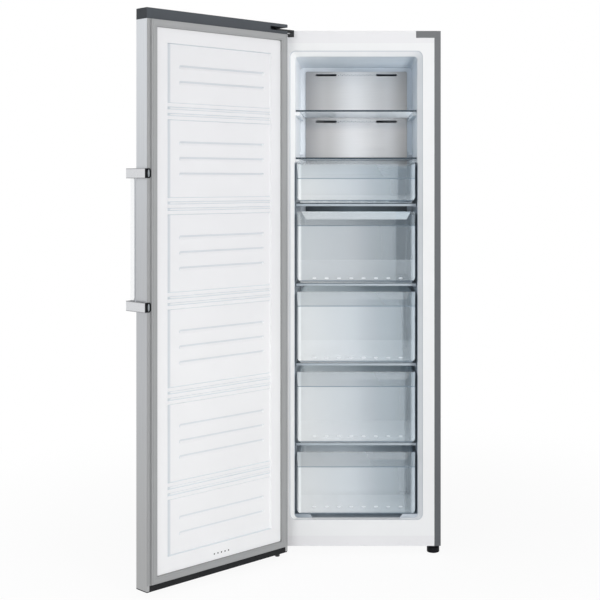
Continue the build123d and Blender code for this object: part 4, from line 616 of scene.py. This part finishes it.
def front_opacity(material, look, low, high, lip):
    """Solid sides, a line at the crease and a milkier foot, and how solid the grip and the lip are."""
    wall, foot, crease = look["wall"], low + look["foot"], high - look["crease"]
    sides = [
        (-0.209, 0.96),
        (-0.1995, 0.96),
        (-0.1925, 0.54),
        (-0.060, 0.50),
        (0.100, 0.40),
        (wall - WALL_BLUR, 0.36),
        (wall + WALL_BLUR, 0.14),
        (0.1915, 0.16),
        (0.1985, 0.50),
        (0.209, 0.75),
    ]
    heights = stops_from(low, (0.0, 0.90), (RIM_CORE, 0.70), (RIM_EDGE, 0.20))
    heights += stops_from(foot, (-0.001, look["foot_haze"]), (0.001, 0.0))
    heights += stops_from(
        crease, (-CREASE_EDGE, 0.0), (-CREASE_CORE, 0.55), (CREASE_CORE, 0.55), (CREASE_EDGE, 0.0)
    )
    heights += [(high, 0.0)]
    grip = stops_from(crease, (CREASE_EDGE, 1.0), (GRIP_FROM, look["grip_solid"]))
    grip += stops_from(high, (-0.0125, look["grip_solid"]), (-0.0120, look["top_solid"]))
    grip += [(high, look["top_solid"])]

    height = coordinate(material, "Z")
    across = ramp(material, coordinate(material, "X"), sides)
    solid = combine(material, "SCREEN", across, ramp(material, height, heights, "LINEAR"))
    solid = combine(material, "MULTIPLY", solid, ramp(material, height, grip, "LINEAR"))
    if look["white_lip"]:
        return combine(material, "SCREEN", solid, lip)
    hung = ramp(material, lip, [(0.0, 1.0), (1.0, look["lip_solid"])], "LINEAR")
    return combine(material, "MULTIPLY", solid, hung)


# painted shade in the crease
CREASE_SHADE = (0.30, 0.37, 0.43)


def front_tints(material, look, low, high, lip):
    """Painted shade: darker to the right, along the lower edge, in the crease and over the grip, but not
    on the lip; the left rim stays white as a painted highlight.
    """
    wall, bright, cool, grip = (look[key] for key in ("wall", "bright", "cool", "grip"))
    crease = high - look["crease"]
    sideways = coordinate(material, "X")
    rest = ramp(material, lip, [(0.0, 1.0), (1.0, 0.0)], "LINEAR")
    # painted shade, darker to the right, with the left rim white as a painted highlight
    shares = [
        (-0.209, WHITE),
        (-0.198, WHITE),
        (-0.190, (bright * (1 - cool), bright, bright * (1 + cool))),
        (0.000, tuple(bright * c for c in (0.87, 0.905, 0.945))),
        (0.100, tuple(bright * c for c in (0.71, 0.775, 0.825))),
        (0.190, tuple(bright * c for c in (0.62, 0.69, 0.745))),
        (0.209, (0.78, 0.85, 0.90)),
    ]
    tint(material, sideways, shares, "LINEAR", rest)
    if look["white_lip"]:
        # painted shade on the lip, darker to the right
        lip_shade_stops = [
            (-0.195, (0.94, 0.95, 0.96)),
            (0.0, (0.86, 0.90, 0.93)),
            (wall - WALL_BLUR, (0.76, 0.82, 0.86)),
            (wall + WALL_BLUR, (0.60, 0.67, 0.72)),
            (0.195, (0.60, 0.67, 0.72)),
        ]
        tint(material, sideways, lip_shade_stops, where=lip)
    # painted shade along the lower edge, in the crease and over the grip
    upwards = stops_from(
        low, (0.0, (0.20, 0.25, 0.30)), (RIM_CORE, (0.28, 0.33, 0.38)), (RIM_EDGE, WHITE)
    )
    upwards += stops_from(
        crease,
        (-CREASE_EDGE, (0.97, 0.98, 0.99)),
        (-CREASE_CORE, CREASE_SHADE),
        (CREASE_CORE, CREASE_SHADE),
        (CREASE_EDGE, (grip, grip * 1.03, grip * 1.05)),
    )
    upwards += [(high, (grip * 0.88, grip * 0.92, grip * 0.95))]
    tint(material, coordinate(material, "Z"), upwards, "LINEAR", rest)


def drawer_front_material(n):
    """Clear plastic, cloudier at its sides, its foot and its crease."""
    low, high = (corner.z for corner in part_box(f"drawer_{n}_front"))
    material = shader(f"drawer_{n}_front_clear", CLEAR, 0.18)
    lip = lip_mask(material, high)
    opacity(material, front_opacity(material, LOOKS[n], low, high, lip))
    front_tints(material, LOOKS[n], low, high, lip)
    return material


# ---------------------------------------------------------------- which solid takes which material
FINISHES = {
    white_panel: "top_rail bottom_rail",
    liner: "inner_liner",
    door_white: "door_liner",
    gasket: "door_gasket",
    dark_cap: "door_top_cap",
    bottom_cap: "door_bottom_cap",
    black_plastic: "foot_left foot_right roller_left roller_right hinge_bushes "
    "evaporation_tray compressor_relay_box power_inlet fan_motor",
    rubber: "compressor_grommets gasket_magnets",
    body_grey: "side_panel_left side_panel_right top_panel hinge_cover_right",
    black_paint: "top_hinge_bracket bottom_hinge_bracket compressor top_hinge_pin bottom_hinge_pin "
    "hinge_screws",
    zinc: "back_panel base_plate bay_panel",
    stainless: "door_panel",
    handle_steel: "handle_brackets",
    bar_steel: "handle_bar",
    plated: "roller_axles handle_screws defrost_heater",
    duct_metal: "duct_panel evaporator",
    copper: "suction_pipe condenser_tube",
    foam: "insulation_foam door_foam",
    shelf_glass: "glass_shelf_1 glass_shelf_2",
    drawer_shelf_glass: "drawer_shelves",
    shelf_trim: "drawer_shelf_trims fan_rotor",
}
for n in LOOKS:
    FINISHES[drawer_front_material(n)] = f"drawer_{n}_front"
    FINISHES[drawer_bin_material(n)] = f"drawer_{n}_bin"
for material, names in FINISHES.items():
    for name in names.split():
        for slot in nodes[name].material_slots:
            slot.material = material


# ---------------------------------------------------------------- small pieces the solids leave out
def skin(name, lumps, body, material):
    """A closed piece skinned over rings of points, one list of rings per lump."""
    points, faces = [], []
    for lump in lumps:
        start = len(points)
        count = len(lump[0])
        for ring in lump:
            points += ring
        for level in range(len(lump) - 1):
            at = start + level * count
            for i in range(count):
                j = (i + 1) % count
                faces.append((at + i, at + j, at + count + j, at + count + i))
        last = start + count * (len(lump) - 1)
        faces.append(tuple(start + i for i in reversed(range(count))))
        faces.append(tuple(last + i for i in range(count)))
    mesh = bpy.data.meshes.new(name)
    mesh.from_pydata([tuple(p) for p in points], [], faces)
    mesh.materials.append(material)
    shell = bmesh.new()
    shell.from_mesh(mesh)
    bmesh.ops.recalc_face_normals(shell, faces=shell.faces)
    shell.to_mesh(mesh)
    shell.free()
    piece = bpy.data.objects.new(name, mesh)
    scene.collection.objects.link(piece)
    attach(piece, body)
    return piece


def ellipse(width, height, count):
    """Points round an ellipse of this width and height."""
    turns = [2 * math.pi * i / count for i in range(count)]
    return [(width / 2 * math.cos(t), height / 2 * math.sin(t)) for t in turns]


# black covers over the handle's brackets, with a bright oval plug in each
TAB_OUT = 0.0316  # face of a bracket's tab, from the hinge line
COVER_HALF = 0.0152  # half a cover's height
COVER_STRAIGHT_X, COVER_MIDDLE_X, COVER_BENT_X, COVER_BULGE = 0.581, 0.571, 0.566, 0.0085
COVER_RINGS = ((0.0, -0.0034), (0.0, 0.0012), (0.0008, 0.0020))  # how much smaller, how far out
ARC_STEPS = 12
PLUG_X, PLUG_W, PLUG_H, PLUG_SIDES = 0.5690, 0.0064, 0.0235, 24
PLUG_RINGS = ((1.0, 0.0015), (1.0, 0.0026), (0.85, 0.0032))  # share of the full size, how far out


def cover_outline():
    """Points of a cover, straight on the free side and bent on the other, as x and height."""
    points = [(COVER_STRAIGHT_X, -COVER_HALF), (COVER_STRAIGHT_X, COVER_HALF)]
    for i in range(ARC_STEPS + 1):
        turn = math.pi * i / ARC_STEPS
        points.append((COVER_BENT_X - COVER_BULGE * math.sin(turn), COVER_HALF * math.cos(turn)))
    return points


def cover_rings(middle):
    """A cover round a bracket whose middle has this height."""
    rings = []
    for inset, out in COVER_RINGS:
        ring = []
        for x, z in cover_outline():
            inset_x = inset if x < COVER_MIDDLE_X else -inset
            ring.append(on_door(x + inset_x, TAB_OUT + out, middle + z - math.copysign(inset, z)))
        rings.append(ring)
    return rings


def plug_rings(middle):
    """The plug in that cover."""
    oval = ellipse(PLUG_W, PLUG_H, PLUG_SIDES)
    return [
        [on_door(PLUG_X + x * size, TAB_OUT + out, middle + z * size) for x, z in oval]
        for size, out in PLUG_RINGS
    ]


skin("handle_covers", [cover_rings(z) for z in BRACKETS_Z], "door", black_plastic)
skin("handle_cover_plugs", [plug_rings(z) for z in BRACKETS_Z], "door", plug_grey)

# flat lips of the gasket, out to the door's side edges: how far in from the edge, how far out
LIP_SECTION = (
    (0.0012, -0.0002),
    (0.0012, 0.0006),
    (0.0018, 0.0011),
    (0.0045, 0.0012),
    (0.0052, 0.0019),
    (0.0062, 0.0019),
    (0.0069, 0.0012),
    (0.0119, 0.0010),
    (0.0119, -0.0002),
)
gasket_low, gasket_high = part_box("door_gasket")
lips = [
    [
        [on_door(edge + side * inset, INNER_PLANE + out, z) for inset, out in LIP_SECTION]
        for z in (gasket_low.z, gasket_high.z)
    ]
    for edge, side in ((FREE_X, -1), (HINGE_X, 1))
]
skin("gasket_lips", lips, "door", gasket)

# painted shade: dark plugs that stand in for the shade inside the vent holes under the door liner's lowest
# field
VENTS, VENT_PITCH, VENT_Z, VENT_SIDES = 5, 0.015, 0.0840, 16
VENT_RINGS = ((0.0035, 0.0008), (0.0035, 0.0031), (0.0050, 0.0031), (0.0048, 0.0034))  # width, how far out
vents = []
for i in range(VENTS):
    middle = (FREE_X + HINGE_X) / 2 + VENT_PITCH * (i - (VENTS - 1) / 2)
    vent = []
    for width, out in VENT_RINGS:
        circle = ellipse(width, width, VENT_SIDES)
        vent.append([on_door(middle + a, INNER_PLANE + out, VENT_Z + b) for a, b in circle])
    vents.append(vent)
skin("vent_shade_plugs", vents, "door", black_plastic)

# rows of fine holes between the duct panel's slots, drawn as grey discs whose darker grey is painted shade
# inside the holes
DUCT_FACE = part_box("duct_panel")[0].y
HOLES, HOLE_W, HOLE_SIDES = 22, 0.0034, 12
HOLE_ROWS_Z, HOLE_ROW_W, HOLE_STAGGER = (1.7215, 1.5405), 0.153, 0.0012
HOLE_BACK, HOLE_OUT = 0.0004, 0.0003  # behind and in front of the duct's face
circle = ellipse(HOLE_W, HOLE_W, HOLE_SIDES)
holes = []
for row in HOLE_ROWS_Z:
    for i in range(HOLES):
        x = HOLE_ROW_W * (i / (HOLES - 1) - 0.5)
        z = row + HOLE_STAGGER * (-1) ** i
        holes.append(
            [
                [Vector((x + a, y, z + b)) for a, b in circle]
                for y in (DUCT_FACE + HOLE_BACK, DUCT_FACE - HOLE_OUT)
            ]
        )
skin("duct_fine_holes", holes, "cabinet", hole_shade_grey)

# a row of small dimples in the thick foot of the lower fronts, bright white as a painted highlight and
# darker to the right as painted shade
dimple_highlight_white = plastic("dimple_highlight_white", srgb(236, 239, 242), 0.6)
# painted shade, darker to the right
DIMPLES_SIDEWAYS_SHADE = [(-0.16, WHITE), (0.0, (0.86, 0.88, 0.90)), (0.16, (0.70, 0.745, 0.78))]
tint(dimple_highlight_white, coordinate(dimple_highlight_white, "X"), DIMPLES_SIDEWAYS_SHADE)
DIMPLES, DIMPLE_PITCH, DIMPLE_SHIFT = 8, 0.0435, 0.0045
DIMPLE_W, DIMPLE_H, DIMPLE_SIDES = 0.0150, 0.0062, 20
DIMPLE_RISE = {2: 0.0110, 3: 0.0140, 4: 0.0205, 5: 0.0245}  # over each front's lower edge
# share of the full size, how far behind the front's face
DIMPLE_RINGS = ((1.0, 0.0008), (1.0, 0.0), (0.6, -0.0004), (0.2, -0.0006))
oval = ellipse(DIMPLE_W, DIMPLE_H, DIMPLE_SIDES)
for n, rise in DIMPLE_RISE.items():
    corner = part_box(f"drawer_{n}_front")[0]
    dimples = []
    for i in range(DIMPLES):
        x = DIMPLE_PITCH * (i - (DIMPLES - 1) / 2) + DIMPLE_SHIFT
        dimples.append(
            [
                [Vector((x + a * size, corner.y + depth, corner.z + rise + b * size)) for a, b in oval]
                for size, depth in DIMPLE_RINGS
            ]
        )
    skin(f"drawer_{n}_dimples", dimples, f"drawer_{n}", dimple_highlight_white)

# ---------------------------------------------------------------- floor and backdrop
FLOOR_HALF = 12.0
SHADOW_FROM, SHADOW_REACH = 0.3, 2.2  # the shadow fades out between these distances from the middle
VEIL = 0.92  # share of plain white that covers the shadow near the middle
DAYLIGHT = 0.325  # the white world's strength as a lamp

bpy.ops.mesh.primitive_plane_add(size=2 * FLOOR_HALF, location=(0, 0, 0))
floor = bpy.context.object
floor.name = "floor"
floor_paint = shader("floor_paint", (0.92, 0.92, 0.92), 0.9)
floor.data.materials.append(floor_paint)


def seen_white(tree, lit, white):
    """A shader that is white where the camera, a mirror or a pane sees it, and lit elsewhere."""
    path = tree.nodes.new("ShaderNodeLightPath")
    either = tree.nodes.new("ShaderNodeMath")
    either.operation = "MAXIMUM"
    both = tree.nodes.new("ShaderNodeMath")
    both.operation = "MAXIMUM"
    tree.links.new(path.outputs["Is Camera Ray"], either.inputs[0])
    tree.links.new(path.outputs["Is Glossy Ray"], either.inputs[1])
    tree.links.new(either.outputs[0], both.inputs[0])
    tree.links.new(path.outputs["Is Transmission Ray"], both.inputs[1])
    mix = tree.nodes.new("ShaderNodeMixShader")
    tree.links.new(both.outputs[0], mix.inputs[0])
    tree.links.new(lit, mix.inputs[1])
    tree.links.new(white, mix.inputs[2])
    return mix.outputs[0]


def dress_world():
    """White where it is seen, and a dimmer, even light on everything."""
    world = bpy.data.worlds.new("world")
    world.use_nodes = True
    scene.world = world
    tree = world.node_tree
    dim = tree.nodes["Background"]
    dim.inputs["Color"].default_value = (0.99, 0.995, 1.0, 1.0)
    dim.inputs["Strength"].default_value = DAYLIGHT
    bright = tree.nodes.new("ShaderNodeBackground")
    bright.inputs["Color"].default_value = (*WHITE, 1.0)
    bright.inputs["Strength"].default_value = 1.0
    both = seen_white(tree, dim.outputs[0], bright.outputs[0])
    tree.links.new(both, tree.nodes["World Output"].inputs["Surface"])


def dress_floor():
    """White to the camera, but for a soft shadow round the object."""
    tree = floor_paint.node_tree
    paint = tree.nodes["Principled BSDF"].outputs[0]
    glow = tree.nodes.new("ShaderNodeEmission")
    glow.inputs["Color"].default_value = (*WHITE, 1.0)
    glow.inputs["Strength"].default_value = 1.0
    place = tree.nodes.new("ShaderNodeTexCoord")
    reach = tree.nodes.new("ShaderNodeVectorMath")
    reach.operation = "LENGTH"
    fade = tree.nodes.new("ShaderNodeMapRange")
    fade.interpolation_type = "SMOOTHSTEP"
    fade.inputs["From Min"].default_value = SHADOW_FROM
    fade.inputs["From Max"].default_value = SHADOW_REACH
    fade.inputs["To Min"].default_value = VEIL
    fade.inputs["To Max"].default_value = 1.0
    veil = tree.nodes.new("ShaderNodeMixShader")
    tree.links.new(place.outputs["Object"], reach.inputs[0])
    tree.links.new(reach.outputs["Value"], fade.inputs["Value"])
    tree.links.new(fade.outputs["Result"], veil.inputs[0])
    tree.links.new(paint, veil.inputs[1])
    tree.links.new(glow.outputs[0], veil.inputs[2])
    both = seen_white(tree, paint, veil.outputs[0])
    tree.links.new(both, tree.nodes["Material Output"].inputs["Surface"])


dress_world()
dress_floor()


# ---------------------------------------------------------------- light
def softbox(name, place, aim, size, watts, mirrored=False):
    """A rectangular area lamp; mirrored says whether glossy surfaces show it."""
    lamp = bpy.data.lights.new(name, "AREA")
    lamp.shape = "RECTANGLE"
    lamp.size, lamp.size_y = size
    lamp.energy = watts
    holder = bpy.data.objects.new(name, lamp)
    scene.collection.objects.link(holder)
    holder.location = place
    holder.rotation_euler = (Vector(aim) - Vector(place)).to_track_quat("-Z", "Y").to_euler()
    holder.visible_glossy = mirrored
    return holder


softbox("key", place=(2.8, -4.6, 2.1), aim=(0.0, -0.3, 0.9), size=(1.8, 2.8), watts=118.0)
softbox("fill", place=(-2.2, -4.8, 0.9), aim=(-0.2, -0.3, 0.8), size=(2.0, 1.8), watts=44.0)
softbox("top", place=(0.0, -1.2, 4.2), aim=(0.0, -0.2, 0.9), size=(3.0, 3.0), watts=22.0, mirrored=True)
# the freezer's own lamp: a glow from the right wall of the upper compartments
GLOW_X, GLOW_Y = 0.200, FRONT_Y + 0.235
GLOW_Z = (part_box("duct_panel")[1].z + DRAWERS_TOP) / 2
inner = softbox(
    "inner", place=(GLOW_X, GLOW_Y, GLOW_Z), aim=(-GLOW_X, GLOW_Y, GLOW_Z), size=(0.38, 0.32), watts=0.60
)
inner.visible_camera = False
